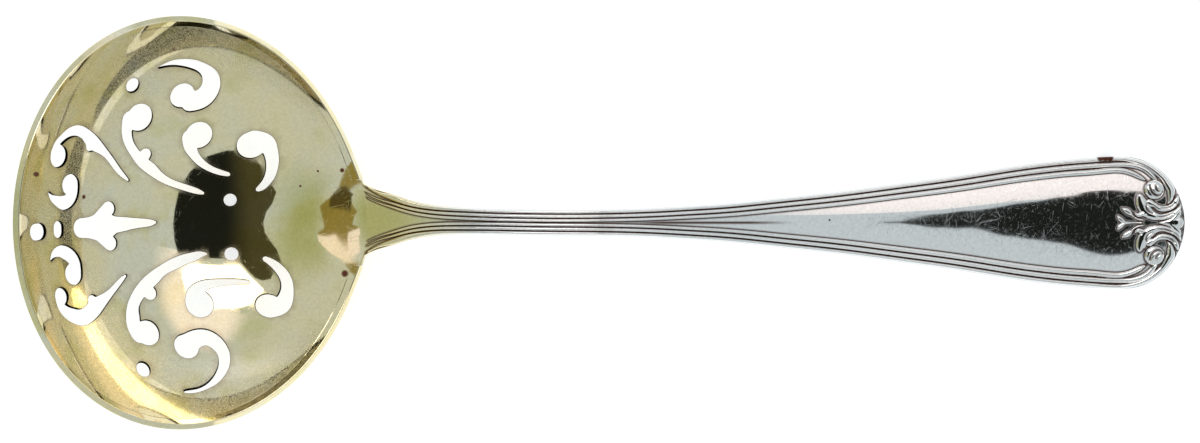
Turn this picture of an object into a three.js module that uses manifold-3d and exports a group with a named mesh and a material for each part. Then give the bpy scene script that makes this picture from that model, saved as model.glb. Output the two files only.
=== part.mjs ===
// Sugar sifter spoon: a pierced ladle bowl soldered to a long handle with a thread and scroll border.
// Millimetres, +Z up. The origin is the middle of the small worn flat under the bowl, +X runs to the
// handle's tip, and the spoon stands on that flat and on the underside of the tip. Left is the +Y side.
import * as THREE from "three";
import { mergeVertices } from "three/addons/utils/BufferGeometryUtils.js";
import Module from "manifold-3d";

const wasm = await Module();
wasm.setup();

// Bowl
const bowlHalfLength = 22.4;
const bowlHalfWidth = 25.5;
const bowlDepth = 12.3;
const bowlTilt = THREE.MathUtils.degToRad(21);
const eggShare = 0.04;
const wallShare = 0.3;
const bowlPoint = 0.65;
const pointPower = 8;
const pointLimit = 1.15;
const kneePlace = 17.8;
const kneeSpread = 0.07;
const kneeSlope = 0.22;
const kneeSoftness = 1.2;
const sheetThickness = 0.7;
const restFlatSink = 0.07;

// Rim wire round the bowl's edge
const rimThickness = 0.9;
const rimHeight = 0.9;
const rimRoundShare = 0.2;

// Piercings: the field that they are laid out in ends short of the rim
const frontPierceMargin = 2.4;
const sidePierceMargin = 5.5;
const sawUprightShare = 0.5;

// Handle
const handleLength = 104.67;
const stemHalfWidth = 1.65;
const rootHalfWidth = 5.3;
const plateHalfWidth = 8.5;
const rootDrift = 0.4;
const junctionHeight = 6.65;
const crestHeight = 12.8;
const rootThickness = 2.4;
const stemThickness = 2.5;
const plateThickness = 2.2;
const edgeThickness = 1;
const rootCup = 0.5;
const stemCrown = 0.3;
const plateCrown = 0.9;
const junctionBlend = 0.15;
const junctionReach = 5;
const junctionSlope = 0.44;
const junctionLift = 2.5;
const junctionPower = 4;
const plateStartShare = 0.926;

// Heel: the drop that laps under the bowl
const heelReach = 5.6;
const heelHalfWidth = 3.4;
const heelHalfHeight = 2.3;
const heelRise = 0.9;
const heelAhead = 1.4;

// Thread border: three reeds a side, their pitch at the root, in the stem and on the plate
const rootPitches = [1, 0.45, 0.45];
const stemPitches = [0.56, 0.55, 0.52];
const platePitches = [0.68, 0.75, 0.82];
const reedNames = ["outer_reed", "middle_reed", "inner_reed"];
const reedHeight = 0.45;
const reedGroove = 0.1;
const solderGap = 0.08;

// Scroll ornament on the tip
const voluteHeight = 0.75;
const scrollHeight = 0.5;
const leafHeight = 0.55;
const budHeight = 0.5;
const crestReliefHeight = 0.3;
const ornamentGap = 0.07;
const thinEnd = 0.25;

// Fineness of the faces, and how far cutters run past what they cut
const overrun = 3;
const bowlRings = 11;
const rootSectors = 4;
const wallSectors = 44;
const rimSteps = 56;
const eyeSteps = 14;
const strokeFacet = 1.2;
const capSteps = 3;
const rootStations = 10;
const stemStations = 27;
const tipStations = 9;
const heelSides = 20;
const heelRows = 12;
const reedSteps = 56;
const ornamentSteps = 12;
const routePlaces = 34;
const routeCrowding = 1.25;
const halvings = 50;
const probe = 0.001;

// Handle tables. The first value of a row is its place, as a share of the handle's length.
const rootFlareShares = [
  [-0.043, 1.45], [-0.006, 1], [0.006, 0.74], [0.026, 0.5], [0.049, 0.28], [0.076, 0.11], [0.115, 0.02],
  [0.16, 0], [0.22, 0],
];
const plateFlareShares = [
  [0.2, 0], [0.3, 0.01], [0.35, 0.035], [0.401, 0.08], [0.431, 0.11], [0.502, 0.22], [0.58, 0.353],
  [0.655, 0.507], [0.723, 0.653], [0.8, 0.841], [0.851, 0.934], [0.888, 0.98], [0.926, 1], [0.965, 0.98],
];
const riseShares = [
  [-0.01, -0.072], [0, 0], [0.01, 0.071], [0.03, 0.205], [0.06, 0.39], [0.1, 0.6], [0.14, 0.77],
  [0.19, 0.915], [0.25, 1], [0.31, 1],
];
const fallShares = [
  [0.2, 1], [0.25, 1], [0.33, 0.868], [0.42, 0.64], [0.51, 0.42], [0.6, 0.268], [0.658, 0.197],
  [0.759, 0.1], [0.83, 0.05], [0.878, 0.027], [0.932, 0.012], [1, 0], [1.05, -0.008],
];
const plateShare = 0.68;
const footStartShare = 0.76;
const footEndShare = 0.86;
const rootEndShare = 0.1;
const stemEndShare = 0.42;
const crestShare = 0.25;
const lastStationShare = 0.997;
const topShares = [-1, -0.67, -0.33, 0, 0.33, 0.67, 1];

// Section of a raised bar: [across, up] as shares of its half-width and height
const barShares = [[-1, 0], [-0.8, 0.6], [-0.35, 0.94], [0.35, 0.94], [0.8, 0.6], [1, 0]];

// Piercings, seen from above with the handle to the right. A hole is a list of strokes, and a stroke is
// a list of places with half-widths: [along, across, half-width] as shares of the pierced field. A
// stroke with one place is a round.
const piercingShares = {
  upper_hook: [
    [[0.08, 0.81, 0.078]],
    [
      [0.145, 0.77, 0.063], [0.215, 0.798, 0.066], [0.248, 0.875, 0.057], [0.225, 0.94, 0.044],
      [0.175, 0.98, 0.033], [0.11, 1.005, 0.03], [0.04, 1.015, 0.025], [-0.025, 1.013, 0.019],
      [-0.08, 0.998, 0.011], [-0.113, 0.985, 0.006],
    ],
  ],
  upper_long_scroll: [
    [[-0.185, 0.67, 0.088]],
    [[-0.118, 0.435, 0.04]],
    [
      [-0.252, 0.66, 0.052], [-0.262, 0.595, 0.04], [-0.255, 0.55, 0.036], [-0.23, 0.495, 0.032],
      [-0.192, 0.445, 0.032], [-0.138, 0.388, 0.035], [-0.078, 0.347, 0.037], [-0.02, 0.302, 0.029],
      [0.05, 0.262, 0.023], [0.125, 0.235, 0.021], [0.2, 0.212, 0.02], [0.25, 0.196, 0.015],
      [0.275, 0.188, 0.008],
    ],
  ],
  upper_comma: [
    [[0.22, 0.56, 0.085]],
    [
      [0.166, 0.545, 0.05], [0.172, 0.495, 0.042], [0.198, 0.442, 0.031], [0.245, 0.389, 0.025],
      [0.31, 0.346, 0.02], [0.375, 0.321, 0.018], [0.422, 0.309, 0.014],
    ],
  ],
  upper_heel_comma: [
    [[0.544, 0.497, 0.085]],
    [
      [0.555, 0.532, 0.058], [0.625, 0.51, 0.052], [0.655, 0.461, 0.043], [0.672, 0.4, 0.038],
      [0.674, 0.35, 0.034], [0.666, 0.3, 0.03], [0.645, 0.255, 0.025], [0.62, 0.225, 0.02],
      [0.602, 0.212, 0.014],
    ],
  ],
  upper_front_scroll: [
    [[-0.769, 0.42, 0.072]],
    [[-0.518, 0.487, 0.036]],
    [
      [-0.802, 0.44, 0.038], [-0.788, 0.49, 0.031], [-0.752, 0.53, 0.029], [-0.7, 0.566, 0.032],
      [-0.635, 0.582, 0.035], [-0.57, 0.562, 0.036], [-0.512, 0.518, 0.046], [-0.46, 0.484, 0.038],
      [-0.4, 0.441, 0.025], [-0.345, 0.386, 0.022], [-0.3, 0.335, 0.02], [-0.255, 0.294, 0.014],
      [-0.225, 0.27, 0.007],
    ],
  ],
  upper_front_comma: [
    [[-0.655, 0.24, 0.068]],
    [
      [-0.625, 0.23, 0.039], [-0.635, 0.175, 0.043], [-0.662, 0.14, 0.045], [-0.705, 0.126, 0.045],
      [-0.755, 0.136, 0.033], [-0.8, 0.156, 0.021], [-0.835, 0.192, 0.007],
    ],
  ],
  upper_round: [[[-0.27, 0.872, 0.046]]],
  upper_heel_round: [[[0.442, 0.146, 0.04]]],
  fleur: [
    [
      [-0.562, -0.034, 0.063], [-0.48, -0.031, 0.072], [-0.395, -0.025, 0.087], [-0.325, -0.015, 0.058],
      [-0.25, -0.009, 0.045], [-0.2, -0.005, 0.037], [-0.1, -0.001, 0.026], [-0.05, 0.001, 0.016],
      [-0.028, 0.003, 0.006],
    ],
    [[-0.43, 0.025, 0.045], [-0.362, 0.088, 0.048]],
    [[-0.425, -0.075, 0.045], [-0.349, -0.13, 0.048]],
  ],
  front_oval: [[[-0.748, -0.028, 0.04], [-0.748, -0.058, 0.04]]],
  front_leaf: [[[-0.952, -0.06, 0.053], [-0.908, -0.056, 0.053]]],
  lower_hook: [
    [[0.11, -0.787, 0.078]],
    [
      [0.13, -0.768, 0.065], [0.185, -0.738, 0.057], [0.245, -0.732, 0.052], [0.304, -0.77, 0.047],
      [0.332, -0.83, 0.038], [0.325, -0.895, 0.032], [0.296, -0.948, 0.027], [0.25, -0.998, 0.022],
      [0.192, -1.036, 0.016], [0.12, -1.062, 0.014], [0.06, -1.07, 0.013], [0.038, -1.071, 0.01],
    ],
  ],
  lower_long_scroll: [
    [[-0.135, -0.7, 0.081]],
    [[-0.088, -0.448, 0.045]],
    [
      [-0.188, -0.702, 0.065], [-0.22, -0.655, 0.052], [-0.221, -0.6, 0.05], [-0.215, -0.545, 0.043],
      [-0.192, -0.492, 0.04], [-0.155, -0.442, 0.041], [-0.11, -0.395, 0.042], [-0.05, -0.347, 0.041],
      [0.003, -0.306, 0.034], [0.075, -0.268, 0.036], [0.15, -0.236, 0.033], [0.215, -0.216, 0.028],
      [0.26, -0.202, 0.019], [0.295, -0.199, 0.007],
    ],
  ],
  lower_comma: [
    [[0.23, -0.518, 0.088]],
    [
      [0.192, -0.508, 0.052], [0.202, -0.455, 0.047], [0.238, -0.418, 0.04], [0.285, -0.396, 0.032],
      [0.35, -0.385, 0.026], [0.42, -0.38, 0.022], [0.485, -0.378, 0.018], [0.535, -0.381, 0.014],
    ],
  ],
  lower_heel_comma: [
    [[0.638, -0.53, 0.075]],
    [
      [0.64, -0.55, 0.057], [0.702, -0.53, 0.052], [0.74, -0.47, 0.041], [0.752, -0.42, 0.035],
      [0.751, -0.37, 0.033], [0.736, -0.325, 0.031], [0.705, -0.28, 0.027], [0.67, -0.248, 0.021],
      [0.642, -0.23, 0.016],
    ],
  ],
  lower_front_scroll: [
    [[-0.75, -0.465, 0.057]],
    [[-0.502, -0.495, 0.039]],
    [
      [-0.77, -0.48, 0.035], [-0.752, -0.53, 0.04], [-0.712, -0.567, 0.045], [-0.655, -0.59, 0.051],
      [-0.6, -0.599, 0.053], [-0.545, -0.58, 0.052], [-0.488, -0.537, 0.052], [-0.425, -0.492, 0.037],
      [-0.365, -0.446, 0.024], [-0.308, -0.392, 0.019], [-0.265, -0.352, 0.013], [-0.245, -0.336, 0.007],
    ],
  ],
  lower_front_comma: [
    [[-0.636, -0.325, 0.069]],
    [
      [-0.612, -0.3, 0.046], [-0.621, -0.25, 0.047], [-0.65, -0.212, 0.047], [-0.698, -0.188, 0.044],
      [-0.748, -0.182, 0.033], [-0.79, -0.201, 0.022], [-0.818, -0.238, 0.008],
    ],
  ],
  lower_heel_round: [[[0.448, -0.2, 0.043]]],
  lower_round: [[[-0.208, -0.93, 0.048]]],
};

// Ornament on the tip: [back from the tip, out from the middle, half-width] as shares of the plate's
// half-width. The right side mirrors the left.
const outerTailShares = [
  [0.428, 0.818, 0.039], [0.316, 0.724, 0.049], [0.246, 0.624, 0.059], [0.205, 0.518, 0.068],
  [0.211, 0.435, 0.061], [0.228, 0.353, 0.04], [0.264, 0.276, 0.012],
];
const middleTailShares = [
  [0.558, 0.776, 0.045], [0.452, 0.712, 0.045], [0.375, 0.624, 0.039], [0.34, 0.529, 0.032],
  [0.358, 0.435, 0.032], [0.44, 0.371, 0.032], [0.534, 0.376, 0.018],
];
const innerTailShares = [[0.687, 0.688, 0.039], [0.605, 0.659, 0.024], [0.587, 0.653, 0.012]];
const voluteShares = [[0.555, 0.535, 0.09], [0.505, 0.541, 0.118], [0.465, 0.545, 0.1]];
const scrollShares = [
  [0.069, 0.412, 0.018], [0.105, 0.329, 0.04], [0.181, 0.253, 0.045], [0.287, 0.206, 0.042],
  [0.393, 0.218, 0.039], [0.464, 0.276, 0.038], [0.522, 0.312, 0.049], [0.545, 0.33, 0.03],
];
const leafBladeShares = [
  [0.052, 0.271, 0.018], [0.111, 0.176, 0.04], [0.228, 0.115, 0.045], [0.369, 0.085, 0.049],
  [0.499, 0.112, 0.065], [0.593, 0.188, 0.082], [0.658, 0.294, 0.073], [0.681, 0.376, 0.053],
  [0.69, 0.41, 0.03],
];
const leafLobeShares = [[0.58, 0.141, 0.041], [0.616, 0.141, 0.041], [0.705, 0.118, 0.033], [0.752, 0.147, 0.014]];
const sideBudShares = [
  [0.628, 0.041, 0.014], [0.734, 0.065, 0.016], [0.799, 0.118, 0.019], [0.852, 0.165, 0.045],
  [0.899, 0.191, 0.035], [0.944, 0.219, 0.012],
];
const budStemShares = [[0.652, 0, 0.014], [0.816, 0, 0.016], [0.916, 0, 0.024], [0.945, 0, 0.02]];
const budLobeShares = [[0.9, 0.005, 0.02], [0.93, 0.02, 0.03], [0.964, 0.047, 0.038], [1.005, 0.088, 0.024]];
const crestShares = [[0.216, 0, 0.012], [0.134, 0, 0.053], [0.083, 0, 0.104], [0.044, 0, 0.12]];

const gilt = new THREE.MeshStandardMaterial({ color: 0xb9ae7c, roughness: 0.25, metalness: 1 });
const silver = new THREE.MeshStandardMaterial({ color: 0xd3d8d4, roughness: 0.2, metalness: 1 });

// Small helpers
const mix = (from, to, share) => from + (to - from) * share;
const clamp = (value) => Math.min(1, Math.max(0, value));
const ease = (value) => clamp(value) ** 2 * (3 - 2 * clamp(value));
const softMin = (a, b, width) => (a + b - Math.hypot(a - b, width)) / 2;

// A curve with even bending through the rows of a table, held at its end values outside them.
function smoothCurve(rows) {
  const count = rows.length;
  const bend = new Array(count).fill(0);
  const carry = new Array(count).fill(0);
  for (let i = 1; i < count - 1; i += 1) {
    const [before, here, after] = [rows[i - 1], rows[i], rows[i + 1]];
    const weight = (here[0] - before[0]) / (after[0] - before[0]);
    const pivot = weight * bend[i - 1] + 2;
    const turn = (after[1] - here[1]) / (after[0] - here[0]) - (here[1] - before[1]) / (here[0] - before[0]);
    bend[i] = (weight - 1) / pivot;
    carry[i] = (6 * turn / (after[0] - before[0]) - weight * carry[i - 1]) / pivot;
  }
  bend[count - 1] = 0;
  for (let i = count - 2; i >= 0; i -= 1) {
    bend[i] = bend[i] * bend[i + 1] + carry[i];
  }
  return (place) => {
    if (place <= rows[0][0]) return rows[0][1];
    if (place >= rows[count - 1][0]) return rows[count - 1][1];
    const next = rows.findIndex((row) => row[0] > place);
    const span = rows[next][0] - rows[next - 1][0];
    const a = (rows[next][0] - place) / span;
    const b = 1 - a;
    const bow = (a ** 3 - a) * bend[next - 1] + (b ** 3 - b) * bend[next];
    return a * rows[next - 1][1] + b * rows[next][1] + bow * span ** 2 / 6;
  };
}

// The value between low and high where a rising function passes zero.
function rootOf(rising, low, high) {
  let [from, to] = [low, high];
  for (let i = 0; i < halvings; i += 1) {
    const middle = (from + to) / 2;
    if (rising(middle) < 0) from = middle;
    else to = middle;
  }
  return (from + to) / 2;
}

// Dish: its own frame has u along the spoon, v across and w up from the rim plane. Its outline comes to a
// soft point at the stem, and its wall bends up there.
function pointReach(u) {
  const held = pointLimit * clamp(u / bowlHalfLength / pointLimit);
  return bowlPoint * held ** pointPower;
}

function dishDrop(u, v) {
  const halfWidthHere = bowlHalfWidth * (1 - eggShare * u / bowlHalfLength);
  const out = ((u - pointReach(u)) / bowlHalfLength) ** 2 + (v / halfWidthHere) ** 2;
  const past = u - kneePlace - kneeSpread * v ** 2;
  const knee = kneeSlope * (Math.hypot(past, kneeSoftness) + past) / 2;
  return bowlDepth * ((1 - wallShare) * out + wallShare * out ** 2 - 1) + knee;
}
const dishSlope = (u) => (dishDrop(u + probe, 0) - dishDrop(u - probe, 0)) / (2 * probe);
const lowU = rootOf((u) => dishSlope(u) - Math.tan(bowlTilt), 0, bowlHalfLength);
const lowW = dishDrop(lowU, 0);
const bowlX = -lowU * Math.cos(bowlTilt) - lowW * Math.sin(bowlTilt);
const bowlZ = lowU * Math.sin(bowlTilt) - lowW * Math.cos(bowlTilt) + sheetThickness - restFlatSink;

function dishPoint(u, v) {
  const w = dishDrop(u, v);
  return new THREE.Vector3(
    u * Math.cos(bowlTilt) + w * Math.sin(bowlTilt) + bowlX,
    v,
    w * Math.cos(bowlTilt) - u * Math.sin(bowlTilt) + bowlZ,
  );
}

// A place on the dish at a share of the way out to its outline.
function skinPlace(share, angle) {
  const across = bowlHalfLength * share * Math.cos(angle);
  const u = rootOf((value) => value - pointReach(value) - across, -2 * bowlHalfLength, 2 * bowlHalfLength);
  return [u, bowlHalfWidth * (1 - eggShare * u / bowlHalfLength) * share * Math.sin(angle)];
}

// Handle: its plan and heights along x
const handleStart = dishPoint(...skinPlace(1, 0)).x;
const tipX = handleStart + handleLength;
const plateStart = mix(handleStart, tipX, plateStartShare);
const along = (x) => (x - handleStart) / handleLength;
const rootFlare = smoothCurve(rootFlareShares);
const plateFlare = smoothCurve(plateFlareShares);
const riseCurve = smoothCurve(riseShares);
const fallCurve = smoothCurve(fallShares);

function halfWidth(x) {
  if (x > plateStart) {
    const share = clamp((x - plateStart) / (tipX - plateStart));
    return plateHalfWidth * Math.sqrt(1 - share ** 2);
  }
  const root = (rootHalfWidth - stemHalfWidth) * rootFlare(along(x));
  const plate = (plateHalfWidth - stemHalfWidth) * plateFlare(along(x));
  return stemHalfWidth + root + plate;
}
const middleY = (x) => rootDrift * (1 - ease(along(x) / crestShare));

function spineHeight(x) {
  const place = along(x);
  if (place < crestShare) return mix(junctionHeight, crestHeight, riseCurve(place));
  return mix(plateThickness, crestHeight, fallCurve(place));
}
function crown(x) {
  const place = along(x);
  const stem = mix(-rootCup, stemCrown, ease(place / rootEndShare));
  return mix(stem, plateCrown, ease((place - stemEndShare) / (plateShare - stemEndShare)));
}
function underside(x) {
  const place = along(x);
  const stem = mix(rootThickness, stemThickness, ease(place / rootEndShare));
  const thick = mix(stem, plateThickness, ease((place - stemEndShare) / (plateShare - stemEndShare)));
  const foot = ease((place - footStartShare) / (footEndShare - footStartShare));
  return (spineHeight(x) - thick) * (1 - foot);
}

// The stem's top runs on down behind the bowl's edge and then climbs away, so that it only takes the
// sharpness off the bowl's lip where the two meet.
function stemTop(x, y) {
  const held = Math.max(x, handleStart);
  const behind = Math.max(handleStart - x, 0);
  const across = (y - middleY(held)) / halfWidth(Math.min(held, plateStart));
  const lift = junctionLift * (behind / junctionReach) ** junctionPower - junctionSlope * behind;
  return spineHeight(held) - crown(held) * across ** 2 + lift;
}
function bowlSurface(u, v) {
  const point = dishPoint(u, v);
  point.z = softMin(point.z, stemTop(point.x, point.y), junctionBlend);
  return point;
}
function handleTop(x, y) {
  if (x > handleStart + junctionReach) return stemTop(x, y);
  const u = rootOf((value) => dishPoint(value, y).x - x, 0, 2 * bowlHalfLength);
  return softMin(dishPoint(u, y).z, stemTop(x, y), junctionBlend);
}

// Solids
function meshFrom(points, faces) {
  const geometry = new THREE.BufferGeometry();
  geometry.setAttribute("position", new THREE.Float32BufferAttribute(points.flatMap((p) => [p.x, p.y, p.z]), 3));
  geometry.setIndex(faces.flat());
  return geometry;
}
// A closed surface as a solid, turned so that its faces point out.
function solid(surface) {
  surface.deleteAttribute("normal");
  surface.deleteAttribute("uv");
  const geometry = mergeVertices(surface, probe / 10);
  const position = geometry.getAttribute("position");
  const index = geometry.getIndex();
  const corner = (i) => new THREE.Vector3().fromBufferAttribute(position, index.getX(i));
  let volume = 0;
  for (let i = 0; i < index.count; i += 3) {
    volume += corner(i).dot(corner(i + 1).cross(corner(i + 2)));
  }
  const triVerts = Uint32Array.from(index.array);
  if (volume < 0) triVerts.reverse();
  return new wasm.Manifold(new wasm.Mesh({ numProp: 3, vertProperties: position.array, triVerts }));
}
function geometryOf(manifold) {
  const mesh = manifold.getMesh();
  const geometry = new THREE.BufferGeometry();
  geometry.setAttribute("position", new THREE.BufferAttribute(mesh.vertProperties, mesh.numProp));
  geometry.setIndex(new THREE.BufferAttribute(mesh.triVerts, 1));
  geometry.computeVertexNormals();
  return geometry;
}
// A solid through closed rings of equally many points, its two ends filled from their middles.
function loft(rings) {
  const size = rings[0].length;
  const points = rings.flat();
  const faces = [];
  for (let r = 0; r + 1 < rings.length; r += 1) {
    for (let i = 0; i < size; i += 1) {
      const [a, b] = [r * size + i, r * size + (i + 1) % size];
      faces.push([a, b, b + size], [a, b + size, a + size]);
    }
  }
  [0, rings.length - 1].forEach((ring) => {
    const middle = new THREE.Vector3();
    rings[ring].forEach((point) => middle.addScaledVector(point, 1 / size));
    points.push(middle);
    for (let i = 0; i < size; i += 1) {
      const face = [ring * size + (i + 1) % size, ring * size + i, points.length - 1];
      faces.push(ring === 0 ? face : face.reverse());
    }
  });
  return solid(meshFrom(points, faces));
}
const subtractAll = (body, cutters) => cutters.reduce((left, cutter) => left.subtract(cutter), body);

// Bowl sheet and rim. A place on the bowl is a share of the way out to the rim and an angle. The rim
// wire runs round from one corner of the stem's root to the other, and between them the sheet runs on
// to the stem.
const rootAngle = Math.asin((rootHalfWidth + rootDrift) / bowlHalfWidth);
const cornerAngle = solderGap / bowlHalfWidth;
const wallLength = bowlHalfLength * Math.hypot(1, dishSlope(bowlHalfLength));
const rimFromShare = 1 - rimHeight / wallLength;

const skinPoint = (share, angle, offset) => offsetPoint(...skinPlace(share, angle), offset);
function bowlNormal(u, v) {
  const alongU = bowlSurface(u + probe, v).sub(bowlSurface(u - probe, v));
  const alongV = bowlSurface(u, v + probe).sub(bowlSurface(u, v - probe));
  return alongU.cross(alongV).normalize();
}
const offsetPoint = (u, v, offset) => bowlSurface(u, v).addScaledVector(bowlNormal(u, v), offset);

// The sheet between two offsets, out to one share of the rim at the root and another under the wire.
function bowlDisc(above, below, rootReach, wallReach) {
  const spokes = [];
  for (let i = 0; i <= rootSectors; i += 1) {
    spokes.push([mix(-rootAngle, rootAngle, i / rootSectors), rootReach]);
  }
  const wallAngle = rootAngle + cornerAngle;
  for (let i = 0; i <= wallSectors; i += 1) {
    spokes.push([mix(wallAngle, 2 * Math.PI - wallAngle, i / wallSectors), wallReach]);
  }
  const points = [];
  const faces = [];
  const sectors = spokes.length;
  const layer = 1 + bowlRings * sectors;
  [above, -below].forEach((offset) => {
    points.push(skinPoint(0, 0, offset));
    for (let ring = 1; ring <= bowlRings; ring += 1) {
      spokes.forEach(([angle, reach]) => points.push(skinPoint(reach * ring / bowlRings, angle, offset)));
    }
  });
  const at = (ring, i) => 1 + (ring - 1) * sectors + i % sectors;
  const addBoth = (a, b, c) => faces.push([a, b, c], [layer + a, layer + c, layer + b]);
  for (let i = 0; i < sectors; i += 1) {
    addBoth(0, at(1, i), at(1, i + 1));
    for (let ring = 1; ring < bowlRings; ring += 1) {
      addBoth(at(ring, i), at(ring + 1, i), at(ring + 1, i + 1));
      addBoth(at(ring, i), at(ring + 1, i + 1), at(ring, i + 1));
    }
    const [a, b] = [at(bowlRings, i), at(bowlRings, i + 1)];
    faces.push([a, a + layer, b + layer], [a, b + layer, b]);
  }
  return solid(meshFrom(points, faces));
}

// The rim wire's section is square to the sheet, with a rounded lip.
function rimBand(above, below, grow) {
  const fromAngle = rootAngle + 2 * cornerAngle - grow / bowlHalfWidth;
  const [low, high] = [rimFromShare - grow / wallLength, 1 + grow / wallLength];
  const soft = mix(high, low, rimRoundShare);
  const lip = mix(above, -below, rimRoundShare);
  const back = mix(-below, above, rimRoundShare);
  const section = [[low, above], [soft, above], [high, lip], [high, back], [soft, -below], [low, -below]];
  const rings = [];
  for (let i = 0; i <= rimSteps; i += 1) {
    const angle = mix(fromAngle, 2 * Math.PI - fromAngle, i / rimSteps);
    rings.push(section.map(([share, offset]) => skinPoint(share, angle, offset)));
  }
  return loft(rings);
}

// Piercing: a plug that follows the saw, half way between the sheet's normal and upright.
const fieldLong = bowlHalfLength - frontPierceMargin;
const fieldWide = bowlHalfWidth - sidePierceMargin;
const fieldMean = (fieldLong + fieldWide) / 2;

function strokeOutline(rows) {
  const places = rows.map(([u, v, r]) => new THREE.Vector3(u * fieldLong, v * fieldWide, r * fieldMean));
  const arc = (place, from, sweep, steps) => {
    const list = [];
    for (let i = 0; i < steps; i += 1) {
      const angle = from + sweep * i / steps;
      list.push(new THREE.Vector2(place.x + place.z * Math.cos(angle), place.y + place.z * Math.sin(angle)));
    }
    return list;
  };
  if (places.length === 1) return arc(places[0], 0, 2 * Math.PI, eyeSteps);
  const curve = new THREE.CatmullRomCurve3(places);
  const steps = Math.ceil(curve.getLength() / strokeFacet);
  const [near, far] = [[], []];
  let heading = 0;
  for (let i = 0; i <= steps; i += 1) {
    const place = curve.getPointAt(i / steps);
    const tangent = curve.getTangentAt(i / steps);
    heading = Math.atan2(tangent.y, tangent.x);
    const side = new THREE.Vector2(-Math.sin(heading), Math.cos(heading)).multiplyScalar(place.z);
    near.push(new THREE.Vector2(place.x - side.x, place.y - side.y));
    far.push(new THREE.Vector2(place.x + side.x, place.y + side.y));
  }
  const first = curve.getTangent(0);
  const endCap = arc(places.at(-1), heading - Math.PI / 2, Math.PI, capSteps).slice(1);
  const startCap = arc(places[0], Math.atan2(first.y, first.x) + Math.PI / 2, Math.PI, capSteps).slice(1);
  return [...near, ...endCap, ...far.reverse(), ...startCap];
}

function plug(outline) {
  const points = [];
  [overrun / 2, -overrun / 2 - sheetThickness].forEach((reach) => {
    outline.forEach((place) => {
      const saw = bowlNormal(place.x, place.y).lerp(new THREE.Vector3(0, 0, 1), sawUprightShare).normalize();
      points.push(bowlSurface(place.x, place.y).addScaledVector(saw, reach));
    });
  });
  const size = outline.length;
  const caps = THREE.ShapeUtils.triangulateShape(outline, []);
  const faces = caps.flatMap(([a, b, c]) => [[a, b, c], [a + size, c + size, b + size]]);
  for (let i = 0; i < size; i += 1) {
    const next = (i + 1) % size;
    faces.push([next, i, i + size], [next, i + size, next + size]);
  }
  return solid(meshFrom(points, faces));
}

// A block that hangs down from a height, or stands up on it.
function block(fromX, length, fromZ, height) {
  const box = new THREE.BoxGeometry(length, 2 * bowlHalfWidth, Math.abs(height));
  return solid(box.translate(fromX + length / 2, 0, fromZ + height / 2));
}

function makeBowl() {
  const sheet = bowlDisc(0, sheetThickness, 1, rimFromShare - solderGap / wallLength);
  const plugs = Object.values(piercingShares).flat().map((stroke) => plug(strokeOutline(stroke)));
  const floor = block(-bowlHalfLength, 2 * bowlHalfLength, 0, -overrun);
  return subtractAll(sheet, [floor, ...plugs]);
}

// All that the bowl and its rim fill, and the space inside, with the solder's gap round it.
const spaceReach = 1 + solderGap / wallLength;
const bowlSpace = bowlDisc(overrun, sheetThickness + solderGap, spaceReach, spaceReach)
  .add(rimBand(overrun, rimThickness + solderGap, solderGap));

// Handle blank and heel
function stations() {
  const list = [];
  const flareEnd = mix(handleStart, tipX, rootEndShare);
  for (let i = 0; i < rootStations; i += 1) list.push(mix(handleStart, flareEnd, i / rootStations));
  for (let i = 0; i < stemStations; i += 1) list.push(mix(flareEnd, plateStart, i / stemStations));
  for (let i = 0; i < tipStations; i += 1) {
    list.push(mix(plateStart, tipX, Math.sin(Math.PI / 2 * i / tipStations)));
  }
  list.push(mix(plateStart, tipX, lastStationShare));
  return list;
}

function blankRing(x) {
  const half = halfWidth(x);
  const middle = middleY(x);
  const bottom = underside(x);
  const chamfer = Math.min(half, edgeThickness) / 2;
  const ring = topShares.map((share) => {
    const y = middle + share * half;
    return new THREE.Vector3(x, y, handleTop(x, y));
  });
  [1, -1].forEach((side) => {
    const edge = middle + side * half;
    const edgeBottom = Math.max(handleTop(x, edge) - edgeThickness, bottom + chamfer / 2);
    const outer = new THREE.Vector3(x, edge, edgeBottom);
    const inner = new THREE.Vector3(x, edge - side * chamfer, bottom);
    ring.push(...(side > 0 ? [outer, inner] : [inner, outer]));
  });
  return ring;
}

// The drop is cut level inside the root, so that it stays below the handle's top.
function makeHeel() {
  const drop = new THREE.SphereGeometry(1, heelSides, heelRows);
  drop.scale(heelReach, heelHalfWidth, heelHalfHeight);
  drop.rotateY(-bowlTilt);
  drop.translate(handleStart - heelAhead, 0, spineHeight(handleStart) - heelHalfHeight + heelRise);
  const level = spineHeight(handleStart) - rootThickness / 2;
  return solid(drop).subtract(block(handleStart - heelAhead, heelAhead + heelReach, level, heelReach));
}

const makeHandle = () => loft(stations().map(blankRing)).add(makeHeel()).subtract(bowlSpace);

// Ridges: a half-round bar that lies on the handle's top. A place of its route is x, y and half-width.
// The bar is drawn wider and taller to cut the room for it out of its neighbours.
function ridge(places, height, { samples, widen = 0, tall = 0 }) {
  const curve = new THREE.CatmullRomCurve3(places);
  const rings = [];
  for (let i = 0; i <= samples; i += 1) {
    const place = curve.getPoint(i / samples);
    const tangent = curve.getTangent(i / samples);
    const side = new THREE.Vector2(-tangent.y, tangent.x).normalize().multiplyScalar(place.z + widen);
    const rise = height * Math.min(1, place.z / thinEnd);
    const lift = ([across, up]) => {
      const [x, y] = [place.x + side.x * across, place.y + side.y * across];
      const reach = up > 0 ? tall : -tall;
      return new THREE.Vector3(x, y, handleTop(x, y) + solderGap + up * rise + reach);
    };
    rings.push(barShares.map(lift));
  }
  return loft(rings);
}

const mirrored = (places, side) => places.map((place) => new THREE.Vector3(place.x, side * place.y, place.z));
const tipPlaces = (rows) => rows.map(([back, out, half]) => (
  new THREE.Vector3(tipX - back * plateHalfWidth, out * plateHalfWidth, half * plateHalfWidth)));

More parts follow.
